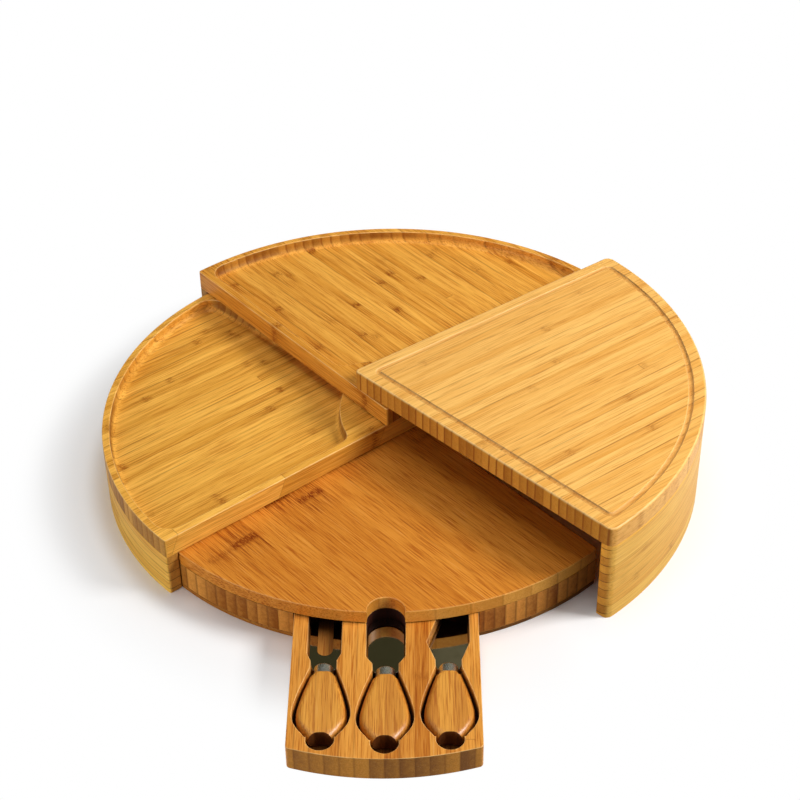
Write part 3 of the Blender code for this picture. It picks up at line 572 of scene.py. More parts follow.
def drawer_body():
    """Drawer block with a blade slot, a deep pocket and a finger scoop for each knife."""
    shell = Shell()
    shell.block(edge_rings(shell, drawer_outline, DRAWER_BOTTOM, DRAWER_TOP, DRAWER_ROUND))
    body = shell.piece("drawer_body", BASE_HEADING, DRAWER_PULL)
    cutters, scoops = [], []
    for name in KNIVES:
        place = knife_place(name)
        slot = [point + place for point in BLADE_OUTLINES[name](SLOT_CLEARANCE)]
        pocket = [point + place for point in pocket_outline()]
        middle = place + Vector((GRIP_START + GRIP_LENGTH + SCOOP_PAST_GRIP, 0.0))
        scoops.append((middle.y, -middle.x))
        cutters += [hollow_cutter(name + "_slot_cutter", slot, SLOT_BOTTOM),
                    hollow_cutter(name + "_pocket_cutter", pocket, POCKET_BOTTOM),
                    hollow_cutter(name + "_scoop_cutter", circle(middle, SCOOP_RADIUS, SCOOP_STEPS),
                                  POCKET_BOTTOM - GLUE_GAP)]
    for cutter in cutters:
        cut = body.modifiers.new(cutter.name, "BOOLEAN")
        cut.operation, cut.solver, cut.object = "DIFFERENCE", "EXACT", cutter
    settled(body, DRAWER_CREASE)
    for cutter in cutters:
        bpy.data.objects.remove(cutter, do_unlink=True)
    # Painted shade: full under the lid, lighter in the slots, and growing down in the pockets and scoops
    for vertex, mark in zip(body.data.vertices, body.data.attributes["hollow"].data):
        mark.value = drawer_shade(vertex.co, scoops)
    return body


def blade(name):
    """Thin steel blade with eased edges and a short tang into its ferrule."""
    tang = [Vector(point) for point in ((NECK_AT, -TANG_HALF), (TANG_END, -TANG_HALF), (TANG_END, TANG_HALF),
                                        (NECK_AT, TANG_HALF))]
    outline = [point + knife_place(name) for point in BLADE_OUTLINES[name](0.0) + tang]
    shell = Shell()
    shell.block(edge_rings(shell, lambda inset: swollen(outline, -inset), BLADE_BOTTOM,
                           BLADE_BOTTOM + BLADE_THICKNESS, BLADE_ROUND, BLADE_ROUND))
    return shell.piece(name + "_steel", BASE_HEADING)


def along_knife(name, sections, piece_name, bent=lambda reach, across: reach):
    """Skin through upright cross sections, each in mirrored halves and at its place along the knife."""
    place, middle = knife_place(name), GRIP_BOTTOM + GRIP_THICKNESS / 2
    shell = Shell()
    rings = []
    for reach, points in sections:
        rings.append([shell.bm.verts.new((place.x + bent(reach, across), place.y + across, middle + up))
                      for across, up in points])
    shell.wall(*rings)
    for ring in (rings[0], rings[-1]):
        for i in range(len(ring) // 2 - 1):
            shell.bm.faces.new((ring[i], ring[i + 1], ring[-2 - i], ring[-1 - i]))
    return shell.piece(piece_name, BASE_HEADING)


def rounded_section(half_width, half_height, corner):
    """Cross section with four equal round corners."""
    points = []
    for quarter in range(4):
        centre_across = (half_width - corner) * (1 if quarter in (0, 3) else -1)
        centre_up = (half_height - corner) * (1 if quarter in (0, 1) else -1)
        for i in range(SECTION_STEPS + 1):
            turn = math.pi / 2 * (quarter + i / SECTION_STEPS)
            points.append((centre_across + corner * math.cos(turn), centre_up + corner * math.sin(turn)))
    return points


def grip(name):
    """Teardrop handle with a flat face above and below, and round sides."""
    side = teardrop_side(GRIP_LENGTH, NECK_HALF, GRIP_HALF_WIDTH, GRIP_END_HALF, GRIP_SAMPLES)
    neck, end = side[0], side[-1]

    def section(width, inset):
        """Cross section whose corners are rounder where the handle is narrow."""
        share = max(0.0, min(1.0, (GRIP_HALF_WIDTH - width) / (GRIP_HALF_WIDTH - GRIP_END_HALF)))
        corner = GRIP_BELLY_ROUND + (GRIP_END_ROUND - GRIP_BELLY_ROUND) * share
        return rounded_section(width - inset, GRIP_THICKNESS / 2 - inset, corner - inset)

    def bitten(reach, across):
        """Place along the knife once the end is cut to the scoop's curve."""
        share = max(0.0, 1 - (end.x - reach) / GRIP_BITE_REACH) ** 2
        return reach + share * (GRIP_BITE_SIDE - GRIP_BITE * (1 - (across / GRIP_END_HALF) ** 2))

    start = neck.x + GRIP_NECK_GAP
    sections = [(start + drop, section(neck.y, inset)) for inset, drop in reversed(rounding(GRIP_NECK_ROUND))]
    sections += [(point.x, section(point.y, 0.0)) for point in side if point.x > start + GRIP_NECK_ROUND][:-1]
    sections += [(end.x - drop, section(end.y, inset)) for inset, drop in rounding(GRIP_END_EASE, EASE_STEPS)]
    return along_knife(name, sections, name + "_grip", bitten)


def ferrule(name):
    """Oval collar between blade and handle, rounded towards the blade."""
    turns = [2 * math.pi * (k + 0.5) / CIRCLE_STEPS for k in range(CIRCLE_STEPS)]
    sections = []
    for i in range(FERRULE_STEPS + 1):
        share = i / FERRULE_STEPS
        left = max(0.0, FERRULE_ROUND - share * FERRULE_LENGTH)
        inset = FERRULE_ROUND - math.sqrt(max(0.0, FERRULE_ROUND ** 2 - left ** 2))
        half_width, half_height = FERRULE_HALF_WIDTH - inset, FERRULE_HALF_HEIGHT - inset
        ring = [(half_width * math.cos(turn), half_height * math.sin(turn)) for turn in turns]
        sections.append((FERRULE_START + FERRULE_LENGTH * share, ring))
    return along_knife(name, sections, name + "_collar")


# Node wiring

class Term:
    """A socket's value, to which the signs of arithmetic add Math nodes."""

    def __init__(self, wiring, socket):
        self.wiring, self.socket = wiring, socket

    def math(self, operation, *others):
        """Math node on this value and any others."""
        return self.wiring.math(operation, self, *others)

    def times_plus(self, factor, start):
        """This value times a factor, plus a start, in one node."""
        return self.math("MULTIPLY_ADD", factor, start)

    def clamped(self):
        """The same value, which its own Math node now holds between 0 and 1."""
        self.socket.node.use_clamp = True
        return self

    def __add__(self, other):
        return self.math("ADD", other)

    def __sub__(self, other):
        return self.math("SUBTRACT", other)

    def __rsub__(self, other):
        return self.wiring.math("SUBTRACT", other, self)

    def __mul__(self, other):
        return self.math("MULTIPLY", other)

    def __truediv__(self, other):
        return self.math("DIVIDE", other)


class Wiring:
    """Adds nodes to one tree and joins them, one line per step."""

    def __init__(self, tree):
        self.tree = tree

    def node(self, kind, inputs=None, **settings):
        """Add a node, set its choices, and feed its inputs."""
        made = self.tree.nodes.new(kind)
        for key, value in settings.items():
            setattr(made, key, value)
        self.feed(made.inputs, inputs or {})
        return made

    def feed(self, sockets, values):
        """Join terms to inputs, or set the inputs' own values."""
        for key, value in values.items():
            if isinstance(value, Term):
                self.tree.links.new(value.socket, sockets[key])
            else:
                sockets[key].default_value = value

    def terms(self, kind, inputs=None, **settings):
        """Add a node and give its outputs by name."""
        return {socket.name: Term(self, socket) for socket in self.node(kind, inputs, **settings).outputs}

    def term(self, kind, inputs=None, output=0, **settings):
        """Add a node and give one of its outputs."""
        return Term(self, self.node(kind, inputs, **settings).outputs[output])

    def math(self, operation, *values):
        """Math node."""
        return self.term("ShaderNodeMath", dict(enumerate(values)), operation=operation)

    def split(self, vector):
        """The three numbers of a vector."""
        return list(self.terms("ShaderNodeSeparateXYZ", {0: vector}).values())

    def join(self, x, y, z):
        """A vector of three numbers."""
        return self.term("ShaderNodeCombineXYZ", {0: x, 1: y, 2: z})

    def fade(self, value, start, end, low=0.0, high=1.0):
        """Smooth step of a value from one bound to the other."""
        bounds = {"Value": value, "From Min": start, "From Max": end, "To Min": low, "To Max": high}
        return self.term("ShaderNodeMapRange", bounds, interpolation_type="SMOOTHSTEP")

    def noise(self, vector, detail=2.0, roughness=0.5, scale=1.0):
        """Noise value."""
        return self.term("ShaderNodeTexNoise", {"Vector": vector, "Scale": scale, "Detail": detail,
                                                "Roughness": roughness})

    def chance(self, x, y, z):
        """Random value and random colour of a cell."""
        made = self.terms("ShaderNodeTexWhiteNoise", {"Vector": self.join(x, y, z)}, noise_dimensions="3D")
        return made["Value"], made["Color"]

    def blend(self, share, first, second, kind="MIX"):
        """Mix of two colours."""
        inputs = {"Factor": share} | dict(zip(MIX_COLOURS, (first, second)))
        return self.term("ShaderNodeMix", inputs, MIX_RESULT, data_type="RGBA", blend_type=kind)

    def tinted(self, share, colour, tint, kind="MULTIPLY"):
        """Colour with a tint laid over a share of it."""
        return self.blend(share, colour, self.blend(1.0, colour, tint, kind))

    def bump(self, shader, height, strength, distance):
        """Roughen a shader's surface."""
        inputs = {"Strength": strength, "Distance": distance, "Height": height}
        self.feed(shader, {"Normal": self.term("ShaderNodeBump", inputs)})

    def give(self, **results):
        """Feed the outputs of a group, and hand over its tree."""
        self.feed(self.node("NodeGroupOutput").inputs, results)
        return self.tree


def new_group(name, inputs, outputs, tree_kind="ShaderNodeTree"):
    """Node tree with named inputs, each given by its first value or else by its kind, and named outputs."""
    tree = bpy.data.node_groups.new(name, tree_kind)
    for socket_name, value in inputs.items():
        kind = SOCKET_KINDS.get(type(value), value)
        socket = tree.interface.new_socket(name=socket_name, in_out="INPUT", socket_type="NodeSocket" + kind)
        if kind != value:
            socket.default_value = value
    for socket_name, kind in outputs.items():
        tree.interface.new_socket(name=socket_name, in_out="OUTPUT", socket_type="NodeSocket" + kind)
    w = Wiring(tree)
    return w, w.terms("NodeGroupInput")


def new_material(name):
    """Material with its wiring and its shader's inputs."""
    material = bpy.data.materials.new(name)
    material.use_nodes = True
    return material, Wiring(material.node_tree), material.node_tree.nodes["Principled BSDF"].inputs


def paint(red, green, blue):
    """Colour written as on a screen, 0 to 255, made linear."""
    return tuple((c / 255 / 12.92) if c <= 10 else ((c / 255 + 0.055) / 1.055) ** 2.4
                 for c in (red, green, blue)) + (1.0,)


# Patterns and finishes that several materials share. Lengths in the laminate are in millimetres.

def laminate_group():
    """Solid bamboo glued up from strips, with their tones, glue lines, fibres, knuckles and end grain."""
    w, given = new_group("Bamboo laminate", {
        "Position": "Vector", "Normal": "Vector", "Seed": 0.0, "Strip Width": 6.8, "Layer Height": 1000.0,
        "Stave Length": 5000.0, "Light": paint(240, 180, 96), "Dark": paint(214, 146, 66),
        "End Light": paint(196, 150, 74), "End Dark": paint(140, 92, 38), "Line": paint(120, 70, 20),
        "Line Strength": 0.7, "End Line Strength": 0.7, "Contrast": 1.0, "Fibre": 0.5, "Knuckle": 0.6,
        "Knuckle Spacing": 150.0, "Knuckle Spread": 5.0, "Speckle": 0.0, "Edge Stave": 900.0,
        "Edge Joint": 0.0}, {"Colour": "Color", "Roughness": "Float", "Height": "Float"})
    grain = w.term("ShaderNodeVectorMath", {0: given["Position"], "Scale": 1000.0}, operation="SCALE")
    u, v, z = w.split(grain)

    def drawn_out(along, across, start=None):
        """Place in the wood for a noise that is drawn out along the fibres."""
        reach = u * along if start is None else u.times_plus(along, start)
        return w.join(reach, v * across, z * across)

    def near(part, size):
        """Distance to the nearest boundary between two cells."""
        return (0.5 - (part - 0.5).math("ABSOLUTE")) * size

    def cell(value):
        """Number of the cell that a value lies in, and its place in that cell."""
        return value.math("FLOOR"), value.math("FRACT")

    # Strips side by side, layers over each other, and staves end to end within a strip
    drift = w.noise(drawn_out(0.011, 0.05), 1.0) - 0.5
    across = drift.times_plus(0.9, v) / given["Strip Width"]
    strip, strip_part = cell(across)
    layer, layer_part = cell(drift.times_plus(0.8, z) / given["Layer Height"] + 0.5)
    seed = given["Seed"]
    strip_tone, strip_colour = w.chance(strip, layer, seed)
    _, knuckle_shift, end_chance = w.split(strip_colour)
    slanted = z.times_plus(0.45, u)
    edge_strip = strip.math("COMPARE", 0.0, 0.1)
    inner_strip = 1.0 - edge_strip
    inner_run = slanted / given["Stave Length"] + strip_tone * RUN_STEP
    edge_run = (slanted - given["Edge Joint"]) / given["Edge Stave"]
    stave, stave_part = cell(inner_run * inner_strip + edge_run * edge_strip)
    stave_size = given["Stave Length"] * inner_strip + given["Edge Stave"] * edge_strip
    tone, stave_colour = w.chance(strip + STRIP_STEP, stave.times_plus(STAVE_STEP, layer), seed)
    knuckle_chance = w.split(stave_colour)[0]

    # Glue lines, each with its own strength, and broken along its run
    end_grain = w.fade(w.split(given["Normal"])[0].math("ABSOLUTE"), 0.48, 0.84)
    long_grain = 1.0 - end_grain
    edge = across.math("ROUND")
    edge_chance, _ = w.chance(edge, layer, seed + EDGE_STEP)
    waver = w.noise(w.join(u.times_plus(0.028, edge_chance * WAVER_STEP), edge, z), 1.0)
    from_edge = near(strip_part, given["Strip Width"])
    presence = w.fade(edge_chance, 0.15, 0.95, 0.1) * w.fade(waver, 0.38, 0.60, 0.10)
    strip_line = w.fade(from_edge, 0.95, 0.0) * presence
    layer_line = w.fade(near(layer_part, given["Layer Height"]), 0.60, 0.08)
    stave_line = w.fade(near(stave_part, stave_size), 0.5, 0.08, 0.0, 0.75)
    along_line = strip_line.math("MAXIMUM", layer_line.math("MAXIMUM", stave_line))
    end_line = w.fade(from_edge, 1.15, 0.15) * w.fade(edge_chance, 0.05, 0.60, 0.40)
    end_line = end_line.math("MAXIMUM", layer_line)
    end_line = end_line * end_grain * given["End Line Strength"]
    line = (along_line * long_grain * given["Line Strength"] + end_line).clamped()

    # Fibres, and knuckles with a brown core and a trail
    shift = tone * FIBRE_STEP
    fine = w.noise(drawn_out(0.035, 1.25, shift), 4.0, 0.62)
    broad = w.noise(drawn_out(0.012, 0.33, shift))
    speckle = w.noise(drawn_out(0.35, 1.1), 3.0, 0.7)
    tuft = w.noise(drawn_out(0.30, 1.0), 3.0, 0.65)
    spot = u / given["Knuckle Spacing"] + knuckle_shift * given["Knuckle Spread"]
    ragged = spot + (tuft - 0.5) * 5.0 / given["Knuckle Spacing"]
    off = near(ragged.math("FRACT"), given["Knuckle Spacing"])
    core = w.fade(off, 6.5, 0.0) * w.fade(tuft, 0.40, 0.60, 0.25)
    trail = w.fade(off, 26.0, 3.0) * w.fade(fine, 0.42, 0.62, 0.0, 0.45)
    knuckle = core.math("MAXIMUM", trail) * w.fade(knuckle_chance, 0.30, 1.0)
    knuckle = (knuckle * given["Knuckle"] * long_grain).clamped()

    # Tone of each stave, and of the strips' cut ends
    sway = (broad - 0.5) * 1.3
    long_tone = (tone - 0.5).times_plus(given["Contrast"], sway + 0.45).clamped()
    end_tone = (end_chance + (strip_part - 0.5) * 0.45 + sway * 0.5).clamped()
    colour = w.blend(end_grain, w.blend(long_tone, given["Light"], given["Dark"]),
                     w.blend(end_tone, given["End Light"], given["End Dark"]))
    streak = (w.fade(fine, 0.45, 0.68) * given["Fibre"]).clamped() * end_grain.times_plus(-0.6, 1.0)
    pale = (w.fade(fine, 0.42, 0.24) * (given["Fibre"] * 0.16)).clamped()
    dots = (w.fade(speckle, 0.50, 0.68) * (end_grain * 0.2 + given["Speckle"])).clamped()
    colour = w.tinted(streak, colour, paint(200, 158, 100))
    colour = w.tinted(pale, colour, paint(255, 226, 170), "SCREEN")
    colour = w.tinted(dots, colour, paint(176, 132, 84))
    colour = w.tinted(knuckle, colour, paint(166, 122, 66))
    return w.give(Colour=w.blend(line, colour, given["Line"]),
                  Roughness=fine * 0.22 + end_grain * 0.08 + line * 0.15 + 0.27,
                  Height=speckle * 0.25 - fine * 0.6 - line * 0.9 - knuckle * 0.3)


def bent_group():
    """Grain that follows the round side: place along the arc, from the pivot, and up."""
    w, given = new_group("Grain bent round the pivot", {"Position": "Vector", "Normal": "Vector"},
                         {"Position": "Vector", "Normal": "Vector"})
    x, y, z = w.split(given["Position"])
    turn = y.math("ARCTAN2", x)
    radius = (x * x + y * y).math("SQRT")
    nx, ny, nz = w.split(given["Normal"])
    cosine, sine = turn.math("COSINE"), turn.math("SINE")
    return w.give(Position=w.join(turn * BENT_GRAIN_RADIUS, radius, z),
                  Normal=w.join(ny * cosine - nx * sine, nx * cosine + ny * sine, nz))


def rim_highlight_group():
    """Painted highlight: paler wood on rounded rims near a given height."""
    w, given = new_group("Painted rim highlight", {
        "Position": "Vector", "Normal": "Vector", "Top": 0.05, "Reach": 0.0016}, {"Mask": "Float"})
    z = w.split(given["Position"])[2]
    up = w.split(given["Normal"])[2]
    near_top = w.fade(z, given["Top"] - given["Reach"], given["Top"] - 0.0002)
    rim = w.fade(up, 0.08, 0.35) * w.fade(up, 0.992, 0.90)
    patch = w.noise(given["Position"], 3.0, 0.6, 60.0)
    return w.give(Mask=near_top * rim * w.fade(patch, 0.30, 0.65, 0.45))


def steel_group():
    """Polished steel: fine scratches along the blade and faint smears."""
    w, given = new_group("Polished steel", {
        "Position": "Vector", "Tone": paint(150, 148, 140), "Smear": paint(120, 116, 104),
        "Base Roughness": 0.06, "Scratch": 0.08},
        {"Colour": "Color", "Roughness": "Float", "Height": "Float"})
    x, y, z = w.split(given["Position"])
    scratch = w.noise(w.join(x * 5200.0, y * 160.0, z * 900.0), 3.0, 0.6)
    smear = w.noise(given["Position"], 3.0, 0.55, 110.0)
    rough = w.fade(scratch, 0.45, 0.75) * given["Scratch"] + w.fade(smear, 0.45, 0.8) * 0.05
    return w.give(Colour=w.blend(w.fade(smear, 0.40, 0.75), given["Tone"], given["Smear"]),
                  Roughness=rough + given["Base Roughness"], Height=scratch)


LAMINATE, BENT, RIM_HIGHLIGHT, STEEL = laminate_group(), bent_group(), rim_highlight_group(), steel_group()


# Materials

def wood(name, heading, top=None, bent=False, shift=(0.0, 0.0, 0.0), sheen=0.18, gloss=0.0, hollow=0.0,
         painted_shade_tint=(166, 126, 74), rim_highlight=0.4, **recipe):
    """Oiled bamboo whose grain runs at a heading in plan, or round the pivot from it."""
    material, w, shader = new_material(name)
    source = w.terms("ShaderNodeTexCoord")
    back = (0.0, 0.0, -heading)
    place = w.term("ShaderNodeMapping", {"Vector": source["Object"], "Rotation": back, "Location": shift},
                   vector_type="POINT")
    facing = w.term("ShaderNodeMapping", {"Vector": source["Normal"], "Rotation": back}, vector_type="VECTOR")
    if bent:
        turned = w.terms("ShaderNodeGroup", {"Position": place, "Normal": facing}, node_tree=BENT)
        place, facing = turned["Position"], turned["Normal"]
    own = {key.replace("_", " ").title(): paint(*value) if isinstance(value, tuple) else value
           for key, value in recipe.items()}
    grain = w.terms("ShaderNodeGroup", {"Position": place, "Normal": facing} | own, node_tree=LAMINATE)
    colour, rough = grain["Colour"], grain["Roughness"]
    if top is not None:
        # Painted highlight: paler colour on the rounded rims near the top
        rim = w.term("ShaderNodeGroup", {"Position": source["Object"], "Normal": source["Normal"],
                                         "Top": top}, node_tree=RIM_HIGHLIGHT)
        colour = w.blend(rim * rim_highlight, colour, paint(255, 222, 154))
    if bent:
        # Painted shade: the skirt's inner face, turned towards the pivot, is darker
        painted_inner_shade = w.fade(w.split(facing)[1], -0.4, -0.8)
        colour = w.tinted(painted_inner_shade, colour, paint(150, 112, 76))
    if hollow:
        # Painted shade in the hollows and under the lid, where the wood is also rougher
        painted_shade_share = (w.terms("ShaderNodeAttribute", attribute_name="hollow")["Fac"] * hollow).clamped()
        colour = w.tinted(painted_shade_share, colour, paint(*painted_shade_tint))
        rough = (rough + painted_shade_share * 0.6).clamped()
    w.feed(shader, {"Base Color": colour, "Roughness": rough, "Specular IOR Level": sheen,
                    "Coat Weight": gloss, "Coat Roughness": 0.22})
    w.bump(shader, grain["Height"], strength=0.35, distance=0.0004)
    return material


def metal(name, base_roughness, scratch, tone, smear, bump_strength=0.03):
    """Metal with fine scratches."""
    material, w, shader = new_material(name)
    steel = w.terms("ShaderNodeGroup", {
        "Position": w.terms("ShaderNodeTexCoord")["Object"], "Base Roughness": base_roughness,
        "Scratch": scratch, "Tone": paint(*tone), "Smear": paint(*smear)}, node_tree=STEEL)
    w.feed(shader, {"Base Color": steel["Colour"], "Roughness": steel["Roughness"], "Metallic": 1.0})
    w.bump(shader, steel["Height"], strength=bump_strength, distance=0.00005)
    return material


def nylon():
    """Milky slip washer with a faint mottle."""
    material, w, shader = new_material("Slip washer nylon")
    mottle = w.noise(w.terms("ShaderNodeTexCoord")["Object"], 3.0, scale=900.0)
    w.feed(shader, {"Base Color": w.blend(mottle, paint(232, 230, 220), paint(214, 210, 196)),
                    "Roughness": w.fade(mottle, 0.3, 0.7, 0.42, 0.56)})
    w.bump(shader, mottle, strength=0.1, distance=0.0001)
    return material


def grain_heading(heading):
    """The boards' grain runs along the wedge's left straight edge."""
    return heading + EDGE_HALF_ANGLE


TOP_WOOD = wood("Top board bamboo", grain_heading(TIER_1_HEADING), TIER_1_BOTTOM + TIER_THICKNESS,
                shift=EDGE_STRIP, hollow=0.35, rim_highlight=0.5, seed=3.0, strip_width=7.1, light=(252, 197, 108),
                dark=(232, 165, 73), contrast=0.7, end_light=(206, 144, 54), end_dark=(168, 108, 34),
                line=(146, 84, 22), line_strength=0.6, end_line_strength=1.0, fibre=0.5, knuckle=0.55,
                knuckle_spacing=150.0)
TOP_SKIRT_WOOD = wood("Top skirt bamboo", TIER_1_HEADING, bent=True, seed=5.0, strip_width=60.0,
                      layer_height=7.2, light=(250, 199, 95), dark=(236, 171, 69), contrast=0.7,
                      end_light=(255, 186, 72), end_dark=(190, 124, 40), line=(132, 74, 20),
                      line_strength=0.15, end_line_strength=1.0, fibre=0.45, knuckle=0.5)
MIDDLE_WOOD = wood("Middle tray bamboo", grain_heading(TIER_2_HEADING), TIER_2_BOTTOM + TIER_THICKNESS,
                   shift=EDGE_STRIP, hollow=0.5, seed=11.0, strip_width=7.0, light=(248, 182, 78),
                   dark=(216, 142, 44), contrast=0.7, end_light=(206, 146, 56), end_dark=(150, 92, 26),
                   line=(150, 88, 24), line_strength=0.7, end_line_strength=0.85, fibre=0.75, knuckle=1.1,
                   knuckle_spacing=110.0)
LOWER_WOOD = wood("Lower tray bamboo", grain_heading(TIER_3_HEADING), TIER_3_BOTTOM + TIER_THICKNESS,
                  shift=EDGE_STRIP, hollow=0.5, seed=17.0, strip_width=7.0, light=(255, 194, 86),
                  dark=(222, 154, 52), contrast=0.7, end_light=(206, 150, 62), end_dark=(146, 94, 30),
                  line=(150, 90, 24), line_strength=0.7, end_line_strength=0.75, fibre=0.7, knuckle=0.9,
                  knuckle_spacing=140.0, edge_stave=90.6, edge_joint=218.6)
MIDDLE_SKIRT_WOOD = wood("Middle skirt bamboo", TIER_2_HEADING, bent=True, seed=23.0, strip_width=60.0,
                         layer_height=8.0, light=(238, 176, 74), dark=(210, 146, 52),
                         end_light=(196, 142, 58), end_dark=(140, 92, 32), line=(120, 76, 26),
                         line_strength=0.45, fibre=0.6, knuckle=0.25)
LOWER_SKIRT_WOOD = wood("Lower skirt bamboo", TIER_3_HEADING, bent=True, seed=29.0, strip_width=60.0,
                        layer_height=7.6, light=(251, 201, 92), dark=(233, 174, 70),
                        end_light=(232, 170, 78), end_dark=(176, 120, 48), line=(120, 74, 24),
                        line_strength=0.5, fibre=0.6, knuckle=0.25)
LID_WOOD = wood("Base lid bamboo", grain_heading(BASE_HEADING), LID_TOP, shift=(-0.034, 0.0, 0.0), hollow=1.0,
                painted_shade_tint=(60, 34, 14), rim_highlight=0.15, seed=36.0, strip_width=21.0, light=(224, 147, 53),
                dark=(198, 117, 31), contrast=0.4, end_light=(234, 170, 74), end_dark=(210, 142, 52),
                speckle=-0.15, line=(140, 78, 22), line_strength=0.35, end_line_strength=0.3, fibre=1.0,
                knuckle=1.7, knuckle_spacing=230.0, knuckle_spread=0.10)
RAIL_WOOD = wood("Base rail bamboo", BASE_HEADING, seed=37.0, strip_width=7.2, light=(206, 148, 66),
                 dark=(150, 96, 36), end_light=(230, 156, 68), end_dark=(146, 82, 20), line=(104, 60, 22),
                 line_strength=0.55, end_line_strength=0.5, fibre=0.5, knuckle=0.3, speckle=0.1)
FLOOR_PANEL_WOOD = wood("Base underside bamboo", grain_heading(BASE_HEADING), seed=41.0, strip_width=21.0,
                        light=(196, 134, 58), dark=(168, 106, 38), end_light=(150, 102, 44),
                        end_dark=(110, 68, 24), line=(100, 60, 20), line_strength=0.4,
                        end_line_strength=0.5, fibre=0.6, knuckle=0.5)
DRAWER_WOOD = wood("Drawer bamboo", math.radians(90.0), DRAWER_TOP, hollow=1.0, painted_shade_tint=(60, 32, 13),
                   seed=43.0, strip_width=9.3, light=(230, 158, 66), dark=(194, 118, 38),
                   end_light=(206, 141, 52), end_dark=(132, 82, 24), line=(110, 62, 20), line_strength=0.5,
                   end_line_strength=0.35, fibre=0.9, knuckle=0.45)
GRIP_WOOD = wood("Handle bamboo", math.radians(90.0), sheen=0.4, gloss=0.2, seed=47.0, strip_width=11.0,
                 light=(224, 156, 60), dark=(192, 120, 38), end_light=(128, 74, 30), end_dark=(88, 46, 16),
                 line=(120, 68, 22), line_strength=0.4, fibre=0.85, knuckle=0.3)
BLADE_STEEL = metal("Blade steel", 0.05, 0.06, (178, 176, 168), (167, 164, 153))
COLLAR_STEEL = metal("Collar steel", 0.26, 0.06, (204, 208, 208), (176, 178, 176), 0.01)
ZINC = metal("Zinc plate", 0.24, 0.18, (176, 178, 182), (150, 152, 156), 0.08)
NYLON = nylon()


# Curved skirts, by one rule

def skirt_tree():
    """Geometry nodes for a skirt: a bar swept round the pivot, its round ends flush with the wedge."""
    w, given = new_group("Bent skirt", {
        "Radius": 0.2, "Thickness": SKIRT_THICKNESS, "Height": 0.05, "Outer Rounding": 0.006,
        "Inner Rounding": 0.001, "Foot Rounding": 0.001, "Half Angle": EDGE_HALF_ANGLE,
        "Edge Offset": EDGE_OFFSET, "Heading": 0.0, "Steps": SKIRT_STEPS, "Finish": "Material"},
        {"Skirt": "Geometry"}, "GeometryNodeTree")
    w.tree.is_modifier = True
    radius, thickness, height = given["Radius"], given["Thickness"], given["Height"]
    middle = thickness.times_plus(-0.5, radius)
    path = w.terms("GeometryNodeCurveArc", {"Resolution": given["Steps"], "Radius": middle,
                                            "Start Angle": -1.0, "Sweep Angle": 2.0}, mode="RADIUS")
    upright = w.term("GeometryNodeSetCurveNormal", {"Curve": path["Curve"]}, mode="Z_UP")
    bar = w.terms("GeometryNodeCurvePrimitiveQuadrilateral", {"Width": thickness, "Height": height},
                  mode="RECTANGLE")
    x, y, z = w.split(w.term("GeometryNodeInputPosition"))
    foot = given["Foot Rounding"] * y.math("LESS_THAN", 0.0)
    profile = w.term("GeometryNodeFilletCurve", {"Curve": bar["Curve"], "Radius": foot,
                                                 "Count": SKIRT_FOOT_STEPS}, mode="POLY")
    swept = w.term("GeometryNodeCurveToMesh", {"Curve": upright, "Profile Curve": profile, "Fill Caps": True})

    # The arc's turn, -1 to 1, becomes a place along the skirt, and its last tenth the rounding of the end
    way = y.math("ARCTAN2", x)
    share = way.math("ABSOLUTE")
    turn = ((share - STRAIGHT_SHARE) / (1.0 - STRAIGHT_SHARE)).clamped() * (math.pi / 2)
    from_end = given["Outer Rounding"] * (1.0 - turn.math("SINE"))
    outer_inset = given["Outer Rounding"] * (1.0 - turn.math("COSINE"))

    def inset(size):
        """How far a quarter round of this size stands back at a distance from the end face."""
        left = (size - from_end).math("MAXIMUM", 0.0)
        square = size * size - left * left
        return size - square.math("MAXIMUM", 0.0).math("SQRT")

    across = ((x * x + y * y).math("SQRT") - middle) / thickness + 0.5
    inner = radius - thickness + inset(given["Inner Rounding"])
    run = inner + across * (radius - outer_inset - inner)
    up = z / height + 0.5
    raised = inset(given["Foot Rounding"]) * (1.0 - up) + up * height
    reach = given["Half Angle"] + ((given["Edge Offset"] - from_end) / run).math("ARCSINE")
    angle = (share / STRAIGHT_SHARE).math("MINIMUM", 1.0) * reach * way.math("SIGN") + given["Heading"]
    placed = w.join(run * angle.math("COSINE"), run * angle.math("SINE"), raised)
    moved = w.term("GeometryNodeSetPosition", {"Geometry": swept, "Position": placed})
    real = w.term("GeometryNodeRealizeInstances", {"Geometry": moved})
    return w.give(Skirt=w.term("GeometryNodeSetMaterial", {"Geometry": real, "Material": given["Finish"]}))


def skirt(name, tree, finish, **sizes):
    """Skirt of one level, made by the tree."""
    made = put(name, bpy.data.meshes.new(name))
    rule = made.modifiers.new("bent skirt", "NODES")
    rule.node_group = tree
    sizes = {"Thickness": SKIRT_THICKNESS, "Half Angle": EDGE_HALF_ANGLE, "Edge Offset": EDGE_OFFSET,
             "Steps": SKIRT_STEPS, "Finish": finish} | {key.replace("_", " ").title(): value
                                                        for key, value in sizes.items()}
    for item in tree.interface.items_tree:
        if item.in_out == "INPUT":
            rule[item.identifier] = sizes[item.name]
    mesh = baked(made)
    bm = bmesh.new()
    bm.from_mesh(mesh)
    bmesh.ops.remove_doubles(bm, verts=bm.verts, dist=MERGE_DISTANCE)
    bmesh.ops.recalc_face_normals(bm, faces=bm.faces)
    bm.to_mesh(mesh)
    bm.free()
    return settled(made, SKIRT_CREASE)


# The object

def fit(made, finish, body, slot, *nodes):
    """Finish a piece, hang it on its body and let it stand for its CAD nodes."""
    made.data.materials.clear()
    made.data.materials.append(finish)
    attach(made, body)
    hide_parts(*nodes)


